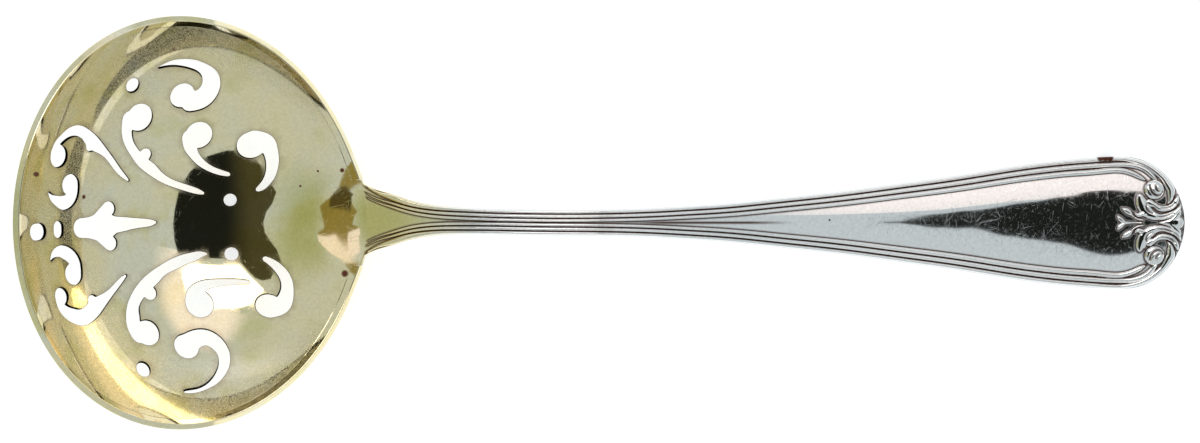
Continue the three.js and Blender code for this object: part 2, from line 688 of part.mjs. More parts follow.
// A reed keeps its distance from the handle's outline until it turns into its part of the scrollwork.
function reedPlaces(row, side, tail) {
  const pitchAt = (x, list) => {
    const pitches = [rootPitches, stemPitches, platePitches].map((set) => set[list]);
    const stem = mix(pitches[0], pitches[1], ease(along(x) / (crestShare / 2)));
    return mix(stem, pitches[2], ease((along(x) - crestShare) / (plateStartShare - crestShare)));
  };
  const places = [];
  const reedStart = handleStart + rimThickness * (1 + row / 2);
  for (let i = 0; i <= routePlaces; i += 1) {
    const x = mix(reedStart, plateStart, (i / routePlaces) ** routeCrowding);
    let inset = pitchAt(x, row) / 2;
    for (let outside = 0; outside < row; outside += 1) inset += pitchAt(x, outside);
    const slope = (halfWidth(x + probe) - halfWidth(x - probe)) / (2 * probe);
    const share = inset / Math.hypot(1, slope);
    const y = middleY(x) + side * (halfWidth(x) - share);
    places.push(new THREE.Vector3(x + share * slope, y, (pitchAt(x, row) - reedGroove) / 2));
  }
  return [...places, ...mirrored(tipPlaces(tail), side)];
}

// Build the spoon
const spoon = new THREE.Group();
function addPiece(name, manifold, material) {
  const mesh = new THREE.Mesh(geometryOf(manifold), material);
  mesh.name = name;
  spoon.add(mesh);
}
addPiece("bowl", makeBowl(), gilt);
addPiece("rim_wire", rimBand(0, rimThickness, 0), gilt);
addPiece("handle", makeHandle(), silver);

// Each piece of the border is cut back from those laid before it.
const laid = [bowlSpace];
function layPiece(name, routes, height) {
  const bars = routes.map(([places, samples]) => ridge(places, height, { samples }));
  const rooms = routes.map(([places, samples]) => (
    ridge(places, height, { samples, widen: ornamentGap, tall: overrun })));
  addPiece(name, subtractAll(bars.reduce((all, bar) => all.add(bar)), laid), silver);
  laid.push(...rooms);
}

[["left", 1], ["right", -1]].forEach(([sideName, side]) => {
  const lay = (name, tables, height) => (
    layPiece(name, tables.map((rows) => [mirrored(tipPlaces(rows), side), ornamentSteps]), height));
  const tails = [outerTailShares, middleTailShares, innerTailShares];
  lay(`volute_${sideName}`, [voluteShares], voluteHeight);
  reedNames.forEach((name, row) => {
    layPiece(`${name}_${sideName}`, [[reedPlaces(row, side, tails[row]), reedSteps]], reedHeight);
  });
  lay(`scroll_${sideName}`, [scrollShares], scrollHeight);
  lay(`leaf_${sideName}`, [leafBladeShares, leafLobeShares], leafHeight);
  lay(`bud_${sideName}`, [sideBudShares], budHeight);
});
const bothSides = (rows) => [1, -1].map((side) => [mirrored(tipPlaces(rows), side), ornamentSteps]);
layPiece("bud_centre", [[tipPlaces(budStemShares), ornamentSteps], ...bothSides(budLobeShares)], budHeight);
layPiece("tip_crest", [[tipPlaces(crestShares), ornamentSteps]], crestReliefHeight);

export default spoon;
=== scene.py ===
# Looks of the sugar sifter spoon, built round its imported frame. Sizes are in millimetres until a mesh is
# made. The spoon's shape is worked out here from the same driving sizes as the frame's, only finer, and
# with fuller ornament at the tip.
import math

import bpy
import numpy as np
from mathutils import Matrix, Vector
from mathutils.geometry import delaunay_2d_cdt


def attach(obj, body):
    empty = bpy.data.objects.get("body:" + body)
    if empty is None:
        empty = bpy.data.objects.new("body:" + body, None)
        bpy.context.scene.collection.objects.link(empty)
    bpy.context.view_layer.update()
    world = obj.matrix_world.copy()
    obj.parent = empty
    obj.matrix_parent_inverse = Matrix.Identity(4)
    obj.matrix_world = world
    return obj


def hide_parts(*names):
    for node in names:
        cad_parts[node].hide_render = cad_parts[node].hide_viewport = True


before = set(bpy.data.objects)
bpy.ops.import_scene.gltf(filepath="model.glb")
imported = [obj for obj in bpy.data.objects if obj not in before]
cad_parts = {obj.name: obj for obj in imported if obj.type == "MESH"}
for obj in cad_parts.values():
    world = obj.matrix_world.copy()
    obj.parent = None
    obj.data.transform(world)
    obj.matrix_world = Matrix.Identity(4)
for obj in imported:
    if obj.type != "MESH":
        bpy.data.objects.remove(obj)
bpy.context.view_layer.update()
MM = 0.001

# Bowl
bowl_half_length = 22.4
bowl_half_width = 25.5
bowl_depth = 12.3
bowl_tilt = math.radians(21)
egg_share = 0.04
wall_share = 0.3
bowl_point = 0.65
point_power = 8
knee_place = 17.8
knee_spread = 0.07
knee_slope = 0.22
knee_softness = 1.2
sheet_thickness = 0.7
rest_flat_sink = 0.07

# Rim wire
rim_thickness = 0.9
rim_height = 0.9
rim_rounding = 0.12

# Piercings
front_pierce_margin = 2.4
side_pierce_margin = 5.5
saw_upright_share = 0.5

# Handle
handle_length = 104.67
stem_half_width = 1.65
root_half_width = 5.3
plate_half_width = 8.5
root_drift = 0.4
junction_height = 6.65
crest_height = 12.8
root_thickness = 2.4
stem_thickness = 2.5
plate_thickness = 2.2
edge_thickness = 1.0
edge_rounding = 0.12
root_cup = 0.5
stem_crown = 0.3
plate_crown = 0.9
junction_blend = 0.15
junction_reach = 5.0
junction_slope = 0.44
junction_lift = 2.5
junction_power = 4
plate_start_share = 0.926

# Heel under the bowl
heel_reach = 5.6
heel_half_width = 3.4
heel_half_height = 2.3
heel_rise = 0.9
heel_ahead = 1.4

# Border and ornament
root_pitches = (1.0, 0.45, 0.45)
stem_pitches = (0.56, 0.55, 0.52)
plate_pitches = (0.68, 0.75, 0.82)
reed_names = ("outer_reed", "middle_reed", "inner_reed")
reed_height = 0.45
reed_groove = 0.1
volute_height = 0.75
scroll_height = 0.5
leaf_height = 0.55
bud_height = 0.5
crest_relief_height = 0.3
ornament_sink = 0.05
thin_end = 0.25

# Handle tables: the first value of a row is its place, as a share of the handle's length
root_flare_shares = [
    (-0.043, 1.45), (-0.006, 1), (0.006, 0.74), (0.026, 0.5), (0.049, 0.28), (0.076, 0.11), (0.115, 0.02),
    (0.16, 0), (0.22, 0),
]
plate_flare_shares = [
    (0.2, 0), (0.3, 0.01), (0.35, 0.035), (0.401, 0.08), (0.431, 0.11), (0.502, 0.22), (0.58, 0.353),
    (0.655, 0.507), (0.723, 0.653), (0.8, 0.841), (0.851, 0.934), (0.888, 0.98), (0.926, 1), (0.965, 0.98),
]
rise_shares = [
    (-0.01, -0.072), (0, 0), (0.01, 0.071), (0.03, 0.205), (0.06, 0.39), (0.1, 0.6), (0.14, 0.77),
    (0.19, 0.915), (0.25, 1), (0.31, 1),
]
fall_shares = [
    (0.2, 1), (0.25, 1), (0.33, 0.868), (0.42, 0.64), (0.51, 0.42), (0.6, 0.268), (0.658, 0.197),
    (0.759, 0.1), (0.83, 0.05), (0.878, 0.027), (0.932, 0.012), (1, 0), (1.05, -0.008),
]
plate_share = 0.68
foot_start_share = 0.76
foot_end_share = 0.86
root_end_share = 0.1
stem_end_share = 0.42
crest_share = 0.25

# Piercings, seen from above with the handle to the right: each table is a stroke of the saw, with rows of
# (along, across, half-width) as shares of the pierced field. Strokes that overlap make one hole.
piercing_shares = [
    [(0.08, 0.81, 0.078)],
    [
        (0.145, 0.77, 0.063), (0.215, 0.798, 0.066), (0.248, 0.875, 0.057), (0.225, 0.94, 0.044),
        (0.175, 0.98, 0.033), (0.11, 1.005, 0.03), (0.04, 1.015, 0.025), (-0.025, 1.013, 0.019),
        (-0.08, 0.998, 0.011), (-0.113, 0.985, 0.006),
    ],
    [(-0.185, 0.67, 0.088)],
    [(-0.118, 0.435, 0.04)],
    [
        (-0.252, 0.66, 0.052), (-0.262, 0.595, 0.04), (-0.255, 0.55, 0.036), (-0.23, 0.495, 0.032),
        (-0.192, 0.445, 0.032), (-0.138, 0.388, 0.035), (-0.078, 0.347, 0.037), (-0.02, 0.302, 0.029),
        (0.05, 0.262, 0.023), (0.125, 0.235, 0.021), (0.2, 0.212, 0.02), (0.25, 0.196, 0.015),
        (0.275, 0.188, 0.008),
    ],
    [(0.22, 0.56, 0.085)],
    [
        (0.166, 0.545, 0.05), (0.172, 0.495, 0.042), (0.198, 0.442, 0.031), (0.245, 0.389, 0.025),
        (0.31, 0.346, 0.02), (0.375, 0.321, 0.018), (0.422, 0.309, 0.014),
    ],
    [(0.544, 0.497, 0.085)],
    [
        (0.555, 0.532, 0.058), (0.625, 0.51, 0.052), (0.655, 0.461, 0.043), (0.672, 0.4, 0.038),
        (0.674, 0.35, 0.034), (0.666, 0.3, 0.03), (0.645, 0.255, 0.025), (0.62, 0.225, 0.02),
        (0.602, 0.212, 0.014),
    ],
    [(-0.769, 0.42, 0.072)],
    [(-0.518, 0.487, 0.036)],
    [
        (-0.802, 0.44, 0.038), (-0.788, 0.49, 0.031), (-0.752, 0.53, 0.029), (-0.7, 0.566, 0.032),
        (-0.635, 0.582, 0.035), (-0.57, 0.562, 0.036), (-0.512, 0.518, 0.046), (-0.46, 0.484, 0.038),
        (-0.4, 0.441, 0.025), (-0.345, 0.386, 0.022), (-0.3, 0.335, 0.02), (-0.255, 0.294, 0.014),
        (-0.225, 0.27, 0.007),
    ],
    [(-0.655, 0.24, 0.068)],
    [
        (-0.625, 0.23, 0.039), (-0.635, 0.175, 0.043), (-0.662, 0.14, 0.045), (-0.705, 0.126, 0.045),
        (-0.755, 0.136, 0.033), (-0.8, 0.156, 0.021), (-0.835, 0.192, 0.007),
    ],
    [(-0.27, 0.872, 0.046)],
    [(0.442, 0.146, 0.04)],
    [
        (-0.562, -0.034, 0.063), (-0.48, -0.031, 0.072), (-0.395, -0.025, 0.087),
        (-0.325, -0.015, 0.058), (-0.25, -0.009, 0.045), (-0.2, -0.005, 0.037), (-0.1, -0.001, 0.026),
        (-0.05, 0.001, 0.016), (-0.028, 0.003, 0.006),
    ],
    [(-0.43, 0.025, 0.045), (-0.362, 0.088, 0.048)],
    [(-0.425, -0.075, 0.045), (-0.349, -0.13, 0.048)],
    [(-0.748, -0.028, 0.04), (-0.748, -0.058, 0.04)],
    [(-0.952, -0.06, 0.053), (-0.908, -0.056, 0.053)],
    [(0.11, -0.787, 0.078)],
    [
        (0.13, -0.768, 0.065), (0.185, -0.738, 0.057), (0.245, -0.732, 0.052), (0.304, -0.77, 0.047),
        (0.332, -0.83, 0.038), (0.325, -0.895, 0.032), (0.296, -0.948, 0.027), (0.25, -0.998, 0.022),
        (0.192, -1.036, 0.016), (0.12, -1.062, 0.014), (0.06, -1.07, 0.013), (0.038, -1.071, 0.01),
    ],
    [(-0.135, -0.7, 0.081)],
    [(-0.088, -0.448, 0.045)],
    [
        (-0.188, -0.702, 0.065), (-0.22, -0.655, 0.052), (-0.221, -0.6, 0.05), (-0.215, -0.545, 0.043),
        (-0.192, -0.492, 0.04), (-0.155, -0.442, 0.041), (-0.11, -0.395, 0.042), (-0.05, -0.347, 0.041),
        (0.003, -0.306, 0.034), (0.075, -0.268, 0.036), (0.15, -0.236, 0.033), (0.215, -0.216, 0.028),
        (0.26, -0.202, 0.019), (0.295, -0.199, 0.007),
    ],
    [(0.23, -0.518, 0.088)],
    [
        (0.192, -0.508, 0.052), (0.202, -0.455, 0.047), (0.238, -0.418, 0.04), (0.285, -0.396, 0.032),
        (0.35, -0.385, 0.026), (0.42, -0.38, 0.022), (0.485, -0.378, 0.018), (0.535, -0.381, 0.014),
    ],
    [(0.638, -0.53, 0.075)],
    [
        (0.64, -0.55, 0.057), (0.702, -0.53, 0.052), (0.74, -0.47, 0.041), (0.752, -0.42, 0.035),
        (0.751, -0.37, 0.033), (0.736, -0.325, 0.031), (0.705, -0.28, 0.027), (0.67, -0.248, 0.021),
        (0.642, -0.23, 0.016),
    ],
    [(-0.75, -0.465, 0.057)],
    [(-0.502, -0.495, 0.039)],
    [
        (-0.77, -0.48, 0.035), (-0.752, -0.53, 0.04), (-0.712, -0.567, 0.045), (-0.655, -0.59, 0.051),
        (-0.6, -0.599, 0.053), (-0.545, -0.58, 0.052), (-0.488, -0.537, 0.052), (-0.425, -0.492, 0.037),
        (-0.365, -0.446, 0.024), (-0.308, -0.392, 0.019), (-0.265, -0.352, 0.013),
        (-0.245, -0.336, 0.007),
    ],
    [(-0.636, -0.325, 0.069)],
    [
        (-0.612, -0.3, 0.046), (-0.621, -0.25, 0.047), (-0.65, -0.212, 0.047), (-0.698, -0.188, 0.044),
        (-0.748, -0.182, 0.033), (-0.79, -0.201, 0.022), (-0.818, -0.238, 0.008),
    ],
    [(0.448, -0.2, 0.043)],
    [(-0.208, -0.93, 0.048)],
]

# Ornament on the tip: (back from the tip, out from the middle, half-width) as shares of the plate's
# half-width. The right side mirrors the left.
reed_tail_shares = [
    [
        (0.487, 0.818, 0.047), (0.39, 0.742, 0.05), (0.303, 0.654, 0.052), (0.236, 0.547, 0.064),
        (0.208, 0.49, 0.066), (0.208, 0.43, 0.06), (0.216, 0.36, 0.042), (0.24, 0.31, 0.022),
        (0.262, 0.28, 0.01),
    ],
    [(0.558, 0.776, 0.045), (0.49, 0.71, 0.04), (0.44, 0.65, 0.03), (0.41, 0.6, 0.02)],
    [(0.76, 0.735, 0.04), (0.67, 0.69, 0.034), (0.61, 0.655, 0.02), (0.585, 0.64, 0.012)],
]
volute_shares = [(0.465, 0.503, 0.145), (0.46, 0.5, 0.15), (0.455, 0.498, 0.15)]
volute_groove_shares = [
    (0.53, 0.57, 0.014), (0.51, 0.49, 0.02), (0.46, 0.43, 0.024), (0.4, 0.41, 0.022), (0.352, 0.43, 0.016),
    (0.335, 0.48, 0.01),
]
volute_eye_shares = [(0.44, 0.555, 0.012), (0.425, 0.5, 0.02), (0.385, 0.475, 0.014)]
scroll_shares = [
    (0.107, 0.395, 0.02), (0.125, 0.335, 0.038), (0.181, 0.253, 0.044), (0.287, 0.212, 0.046),
    (0.393, 0.222, 0.045), (0.464, 0.27, 0.04), (0.522, 0.3, 0.055), (0.545, 0.315, 0.045),
]
scroll_groove_shares = [(0.15, 0.3, 0.008), (0.2, 0.25, 0.014), (0.28, 0.225, 0.012), (0.36, 0.22, 0.008)]
leaf_blade_shares = [
    (0.062, 0.266, 0.016), (0.115, 0.176, 0.04), (0.228, 0.115, 0.045), (0.369, 0.085, 0.049),
    (0.499, 0.118, 0.075), (0.593, 0.193, 0.092), (0.648, 0.294, 0.088), (0.671, 0.371, 0.062),
    (0.68, 0.41, 0.035),
]
leaf_lobe_shares = [
    (0.58, 0.141, 0.041), (0.616, 0.141, 0.041), (0.705, 0.118, 0.033), (0.752, 0.147, 0.014),
]
leaf_groove_shares = [(0.42, 0.094, 0.006), (0.35, 0.094, 0.015), (0.28, 0.105, 0.015), (0.18, 0.149, 0.008)]
leaf_fold_shares = [(0.56, 0.31, 0.01), (0.585, 0.24, 0.018), (0.54, 0.17, 0.014), (0.48, 0.14, 0.006)]
side_bud_shares = [
    (0.628, 0.041, 0.014), (0.734, 0.065, 0.016), (0.799, 0.118, 0.019), (0.852, 0.165, 0.045),
    (0.899, 0.191, 0.035), (0.944, 0.219, 0.012),
]
bud_stem_shares = [(0.652, 0, 0.014), (0.816, 0, 0.016), (0.916, 0, 0.024), (0.945, 0, 0.02)]
bud_lobe_shares = [(0.9, 0.005, 0.02), (0.93, 0.02, 0.03), (0.964, 0.047, 0.038), (1.005, 0.088, 0.024)]
crest_shares = [(0.38, 0, 0.014), (0.3, 0, 0.035), (0.2, 0, 0.072), (0.12, 0, 0.095), (0.105, 0, 0.095)]
crest_wing_shares = [(0.2, 0.03, 0.03), (0.12, 0.1, 0.045), (0.085, 0.145, 0.035), (0.07, 0.185, 0.02)]


def mix(start, end, share):
    return start + (end - start) * share


def ease(value):
    held = np.clip(value, 0, 1)
    return held**2 * (3 - 2 * held)


def soft_min(a, b, width):
    return (a + b - np.hypot(a - b, width)) / 2


def smooth_curve(rows):
    """A curve with even bending through rows of (place, value), held at its end values outside them."""
    places, values = np.array(rows, float).T
    count = len(places)
    gaps = np.diff(places)
    slopes = np.diff(values) / gaps
    system = np.eye(count)
    pulls = np.zeros(count)
    for i in range(1, count - 1):
        system[i, i - 1:i + 2] = gaps[i - 1], 2 * (gaps[i - 1] + gaps[i]), gaps[i]
        pulls[i] = 6 * (slopes[i] - slopes[i - 1])
    bends = np.linalg.solve(system, pulls)

    def value_at(place):
        held = np.clip(place, places[0], places[-1])
        i = np.clip(np.searchsorted(places, held) - 1, 0, count - 2)
        b = (held - places[i]) / gaps[i]
        a = 1 - b
        bow = (a**3 - a) * bends[i] + (b**3 - b) * bends[i + 1]
        return a * values[i] + b * values[i + 1] + bow * gaps[i] ** 2 / 6

    return value_at


def smooth_path(rows, spacing):
    """Evenly spaced places on a curve through rows of (x, y, half-width)."""
    rows = np.array(rows, float)
    steps = np.hypot(*np.diff(rows[:, :2], axis=0).T)
    knots = np.concatenate([[0], np.cumsum(steps)])
    place = np.linspace(0, knots[-1], max(3, math.ceil(knots[-1] / spacing)) + 1)
    return np.stack([smooth_curve(np.stack([knots, column], 1))(place) for column in rows.T], 1)


# How often a search halves its range, and the step in millimetres to each side that a slope is read from
HALVINGS = 44
PROBE = 0.002


def root_of(rising, low, high):
    """Where a rising function of an array passes zero."""
    for _ in range(HALVINGS):
        middle = (low + high) / 2
        below = rising(middle) < 0
        low = np.where(below, middle, low)
        high = np.where(below, high, middle)
    return (low + high) / 2


# Dish: its own frame has u along the spoon, v across and w up from the rim plane. Its outline comes to a
# soft point at the stem, and its wall bends up there.
point_limit = 1.15
point_rounds = 44


def oval_half_width(u):
    return bowl_half_width * (1 - egg_share * u / bowl_half_length)


def point_reach(u):
    """How far the soft point carries the oval outline along at u."""
    return bowl_point * np.clip(u / bowl_half_length, 0, point_limit) ** point_power


def dish_drop(u, v):
    out = ((u - point_reach(u)) / bowl_half_length) ** 2 + (v / oval_half_width(u)) ** 2
    past = u - knee_place - knee_spread * v**2
    knee = knee_slope * (np.hypot(past, knee_softness) + past) / 2
    return bowl_depth * ((1 - wall_share) * out + wall_share * out**2 - 1) + knee


def dish_slope(u):
    return (dish_drop(u + PROBE, 0) - dish_drop(u - PROBE, 0)) / (2 * PROBE)


low_u = float(root_of(lambda u: dish_slope(u) - math.tan(bowl_tilt), 0.0, bowl_half_length))
low_w = dish_drop(low_u, 0)
bowl_x = -low_u * math.cos(bowl_tilt) - low_w * math.sin(bowl_tilt)
bowl_z = low_u * math.sin(bowl_tilt) - low_w * math.cos(bowl_tilt) + sheet_thickness - rest_flat_sink


def dish_point(u, v):
    w = dish_drop(u, v)
    x = u * math.cos(bowl_tilt) + w * math.sin(bowl_tilt) + bowl_x
    z = w * math.cos(bowl_tilt) - u * math.sin(bowl_tilt) + bowl_z
    return np.stack(np.broadcast_arrays(x, v, z), -1)


def skin_place(share, angle):
    """A place on the dish at a share of the way out to its outline."""
    across = share * np.cos(angle)
    u = bowl_half_length * across
    for _ in range(point_rounds):
        u = bowl_half_length * across + point_reach(u)
    v = oval_half_width(u) * share * np.sin(angle)
    return np.stack(np.broadcast_arrays(u, v), -1)


handle_start = float(dish_point(*skin_place(1.0, 0.0))[0])
tip_x = handle_start + handle_length
plate_start = mix(handle_start, tip_x, plate_start_share)
root_flare = smooth_curve(root_flare_shares)
plate_flare = smooth_curve(plate_flare_shares)
rise_curve = smooth_curve(rise_shares)
fall_curve = smooth_curve(fall_shares)


def along(x):
    return (x - handle_start) / handle_length


def half_width(x):
    root = (root_half_width - stem_half_width) * root_flare(along(x))
    plate = (plate_half_width - stem_half_width) * plate_flare(along(x))
    end = np.clip((x - plate_start) / (tip_x - plate_start), 0, 1)
    round_end = plate_half_width * np.sqrt(1 - end**2)
    return np.where(x > plate_start, round_end, stem_half_width + root + plate)


def middle_y(x):
    return root_drift * (1 - ease(along(x) / crest_share))


def spine_height(x):
    place = along(x)
    rise = mix(junction_height, crest_height, rise_curve(place))
    fall = mix(plate_thickness, crest_height, fall_curve(place))
    return np.where(place < crest_share, rise, fall)


def crown(x):
    place = along(x)
    stem = mix(-root_cup, stem_crown, ease(place / root_end_share))
    return mix(stem, plate_crown, ease((place - stem_end_share) / (plate_share - stem_end_share)))


def underside(x):
    place = along(x)
    stem = mix(root_thickness, stem_thickness, ease(place / root_end_share))
    plate = ease((place - stem_end_share) / (plate_share - stem_end_share))
    foot = ease((place - foot_start_share) / (foot_end_share - foot_start_share))
    return (spine_height(x) - mix(stem, plate_thickness, plate)) * (1 - foot)


def stem_top(x, y):
    held = np.maximum(x, handle_start)
    behind = np.maximum(handle_start - x, 0)
    across = (y - middle_y(held)) / half_width(np.minimum(held, plate_start))
    lift = junction_lift * (behind / junction_reach) ** junction_power - junction_slope * behind
    return spine_height(held) - crown(held) * across**2 + lift


def bowl_surface(u, v):
    point = dish_point(u, v)
    point[..., 2] = soft_min(point[..., 2], stem_top(point[..., 0], point[..., 1]), junction_blend)
    return point


def handle_top(x, y):
    x, y = np.broadcast_arrays(np.asarray(x, float), np.asarray(y, float))
    far = 2 * bowl_half_length
    u = root_of(lambda value: dish_point(value, y)[..., 0] - x, np.zeros_like(x), np.full_like(x, far))
    blended = soft_min(dish_point(u, y)[..., 2], stem_top(x, y), junction_blend)
    return np.where(x > handle_start + junction_reach, stem_top(x, y), blended)


def unit(vectors):
    return vectors / np.linalg.norm(vectors, axis=-1, keepdims=True)


def bowl_normal(u, v):
    along_u = bowl_surface(u + PROBE, v) - bowl_surface(u - PROBE, v)
    along_v = bowl_surface(u, v + PROBE) - bowl_surface(u, v - PROBE)
    return unit(np.cross(along_u, along_v))


def top_normal(x, y):
    slope_x = (handle_top(x + PROBE, y) - handle_top(x - PROBE, y)) / (2 * PROBE)
    slope_y = (handle_top(x, y + PROBE) - handle_top(x, y - PROBE)) / (2 * PROBE)
    return unit(np.stack([-slope_x, -slope_y, np.ones_like(slope_x)], -1))


def add_object(name, data):
    added = bpy.data.objects.new(name, data)
    bpy.context.scene.collection.objects.link(added)
    return added


def add_mesh(name, points, faces, normals=None, **marks):
    """A smooth piece from points in millimetres, with an attribute for each mark."""
    mesh = bpy.data.meshes.new(name)
    mesh.from_pydata((np.asarray(points) * MM).tolist(), [], [tuple(map(int, face)) for face in faces])
    mesh.polygons.foreach_set("use_smooth", [True] * len(mesh.polygons))
    for mark, values in marks.items():
        mesh.attributes.new(mark, "FLOAT", "POINT").data.foreach_set("value", np.asarray(values, np.float32))
    if normals is not None:
        mesh.normals_split_custom_set_from_vertices(np.asarray(normals).tolist())
    return add_object(name, mesh)


def loop_edges(size, start=0):
    """The edges of a closed loop of points that are numbered one after another."""
    return [(start + i, start + (i + 1) % size) for i in range(size)]


def loft(rings):
    """Points and faces of a closed solid through an array of rings, its ends closed by a middle point."""
    count, size = rings.shape[:2]
    ends = [rings[0].mean(0), rings[-1].mean(0)]
    points = np.concatenate([rings.reshape(-1, 3), ends])
    last = (count - 1) * size
    faces = []
    for first in range(0, last, size):
        faces += [(a, b, b + size, a + size) for a, b in loop_edges(size, first)]
    for i, j in loop_edges(size):
        faces.append((j, i, count * size))
        faces.append((last + i, last + j, count * size + 1))
    return points, faces


def slab_faces(triangles, border, count):
    """Faces of a slab: both sides, the lower one's points after the upper one's, and its outer edge."""
    faces = [tuple(face) for face in triangles]
    faces += [(count + a, count + c, count + b) for a, b, c in triangles]
    faces += [(a, a + count, b + count, b) for a, b in zip(border, border[1:] + border[:1])]
    return faces


# What a triangulation fills: all between its outermost places, or only what its edges enclose
WHOLE = 0
ENCLOSED = 1
MERGE_DISTANCE = 1e-7


def triangulated(given, edges, filled):
    """Triangles over given places: the places, the triangles, each given place's new number, the edges."""
    found, found_edges, triangles, from_given, from_edges, _ = delaunay_2d_cdt(
        [Vector(place) for place in given], edges, [], filled, MERGE_DISTANCE)
    places = np.array([tuple(place) for place in found])
    index_of = {source: number for number, sources in enumerate(from_given) for source in sources}
    kept = {frozenset(edge) for edge, source in zip(found_edges, from_edges) if source}
    return places, triangles, index_of, kept


# Bowl sheet: the piercings are traced on a grid, and the sheet between them is filled with triangles
field_long = bowl_half_length - front_pierce_margin
field_wide = bowl_half_width - side_pierce_margin
trace_spacing = 0.05
grid_spacing = 0.1
loop_spacing = 0.13
fill_spacing = 0.8
lip_fill_spacing = 0.3
lip_zone_u = 16.5
lip_zone_v = 12.0
rim_edge_gap = 0.01
edge_softness = 0.05
saw_round_share = 0.3
lip_tarnish = 0.25
clear_reach = 1.3
far_reach = 1.0
root_edge_steps = 40
wall_edge_steps = 320
UP = np.array([0.0, 0.0, 1.0])

# The filling keeps away from an outline by its own spacing divided by this
fill_gap_parts = 3

# A place is looked up at most this many steps before the end of a grid
grid_end_steps = 1.001

root_angle = math.asin((root_half_width + root_drift) / bowl_half_width)
wall_length = bowl_half_length * math.hypot(1, dish_slope(bowl_half_length))
rim_from_share = 1 - rim_height / wall_length


def stroke_places(rows):
    rows = np.array(rows) * (field_long, field_wide, (field_long + field_wide) / 2)
    return rows if len(rows) == 1 else smooth_path(rows, trace_spacing)


def distance_field(discs, low, high, spacing, reach):
    """A grid of the distance to the nearest disc's edge, below zero inside it and never over the reach."""
    us = np.arange(low[0], high[0], spacing)
    vs = np.arange(low[1], high[1], spacing)
    grid = np.full((len(us), len(vs)), reach)
    for u, v, r in discs:
        i = slice(*np.searchsorted(us, (u - r - reach, u + r + reach)))
        j = slice(*np.searchsorted(vs, (v - r - reach, v + r + reach)))
        grid[i, j] = np.minimum(grid[i, j], np.hypot(us[i, None] - u, vs[None, j] - v) - r)
    return us, vs, grid


def field_value(field, x, y):
    """A field's value at any place, between the four nearest places of its grid."""
    us, vs, grid = field
    s = np.clip((x - us[0]) / (us[1] - us[0]), 0, len(us) - grid_end_steps)
    t = np.clip((y - vs[0]) / (vs[1] - vs[0]), 0, len(vs) - grid_end_steps)
    i, j = s.astype(int), t.astype(int)
    near = mix(grid[i, j], grid[i, j + 1], t - j)
    far = mix(grid[i + 1, j], grid[i + 1, j + 1], t - j)
    return mix(near, far, s - i)


def piercing_field():
    discs = [place for stroke in piercing_shares for place in stroke_places(stroke)]
    corner = np.array((bowl_half_length, bowl_half_width))
    return distance_field(discs, -corner, corner, grid_spacing, clear_reach)


def zero_loops(field):
    """The closed lines on which a field's values pass zero."""
    us, vs, grid = field
    inside = grid < 0
    corners = inside[:-1, :-1].astype(int) + inside[1:, :-1] + inside[:-1, 1:] + inside[1:, 1:]
    links = {}
    for i, j in np.argwhere((corners > 0) & (corners < 4)):
        a, b, c, d = (i, j), (i + 1, j), (i + 1, j + 1), (i, j + 1)
        round_cell = [(a, b), (b, c), (d, c), (a, d)]
        crossed = [edge for edge in round_cell if inside[edge[0]] != inside[edge[1]]]
        for one, other in zip(crossed[::2], crossed[1::2]):
            links.setdefault(one, []).append(other)
            links.setdefault(other, []).append(one)

    def crossing(edge):
        one, other = edge
        share = grid[one] / (grid[one] - grid[other])
        return mix(us[one[0]], us[other[0]], share), mix(vs[one[1]], vs[other[1]], share)

    loops = []
    while links:
        start = next(iter(links))
        loop, here = [], start
        while here is not None:
            loop.append(crossing(here))
            here = next((edge for edge in links.pop(here) if edge in links), None)
        loops.append(np.array(loop))
    return loops


def evened(loop, spacing):
    """A loop without the grid's steps, evenly spaced and anticlockwise."""
    for _ in range(2):
        loop = (np.roll(loop, 1, 0) + 2 * loop + np.roll(loop, -1, 0)) / 4
    closed = np.vstack([loop, loop[:1]])
    steps = np.concatenate([[0], np.cumsum(np.hypot(*np.diff(closed, axis=0).T))])
    place = np.linspace(0, steps[-1], round(steps[-1] / spacing), endpoint=False)
    loop = np.stack([np.interp(place, steps, column) for column in closed.T], 1)
    area = np.sum(loop[:, 0] * np.roll(loop[:, 1], -1) - loop[:, 1] * np.roll(loop[:, 0], -1))
    return loop if area > 0 else loop[::-1]


def ways_out(loop):
    """Unit vectors from a piercing's outline into the metal."""
    tangent = np.roll(loop, -1, 0) - np.roll(loop, 1, 0)
    return unit(np.stack([tangent[:, 1], -tangent[:, 0]], 1))


def sheet_point(places, depth, clear):
    """A place below the bowl's inner surface: along the saw beside a piercing, and square down elsewhere."""
    u, v = places.T
    normal = bowl_normal(u, v)
    saw = unit(mix(normal, UP, saw_upright_share))
    saw /= np.sum(saw * normal, -1, keepdims=True)
    pull = 1 - ease(clear / clear_reach)[:, None]
    point = bowl_surface(u, v) - depth * mix(normal, saw, pull)
    point[:, 2] = np.maximum(point[:, 2], 0)
    return point


def fill_places(field):
    """Places that fill the sheet, closer together where it rolls over to the stem."""
    places = []
    for spacing, lip in ((fill_spacing, False), (lip_fill_spacing, True)):
        u, v = np.meshgrid(
            np.arange(-bowl_half_length, bowl_half_length, spacing),
            np.arange(-bowl_half_width, bowl_half_width, spacing), indexing="ij")
        v = v + np.where(np.arange(u.shape[0]) % 2 == 0, 0, spacing / 2)[:, None]
        found = np.stack([u.ravel(), v.ravel()], 1)
        in_lip = (found[:, 0] > lip_zone_u) & (np.abs(found[:, 1]) < lip_zone_v)
        share = np.hypot(found[:, 0] / bowl_half_length, found[:, 1] / bowl_half_width)
        clear = field_value(field, *found.T)
        kept = (share < rim_from_share - rim_edge_gap) & (clear > spacing / fill_gap_parts)
        places.append(found[(in_lip == lip) & kept])
    return np.concatenate(places)


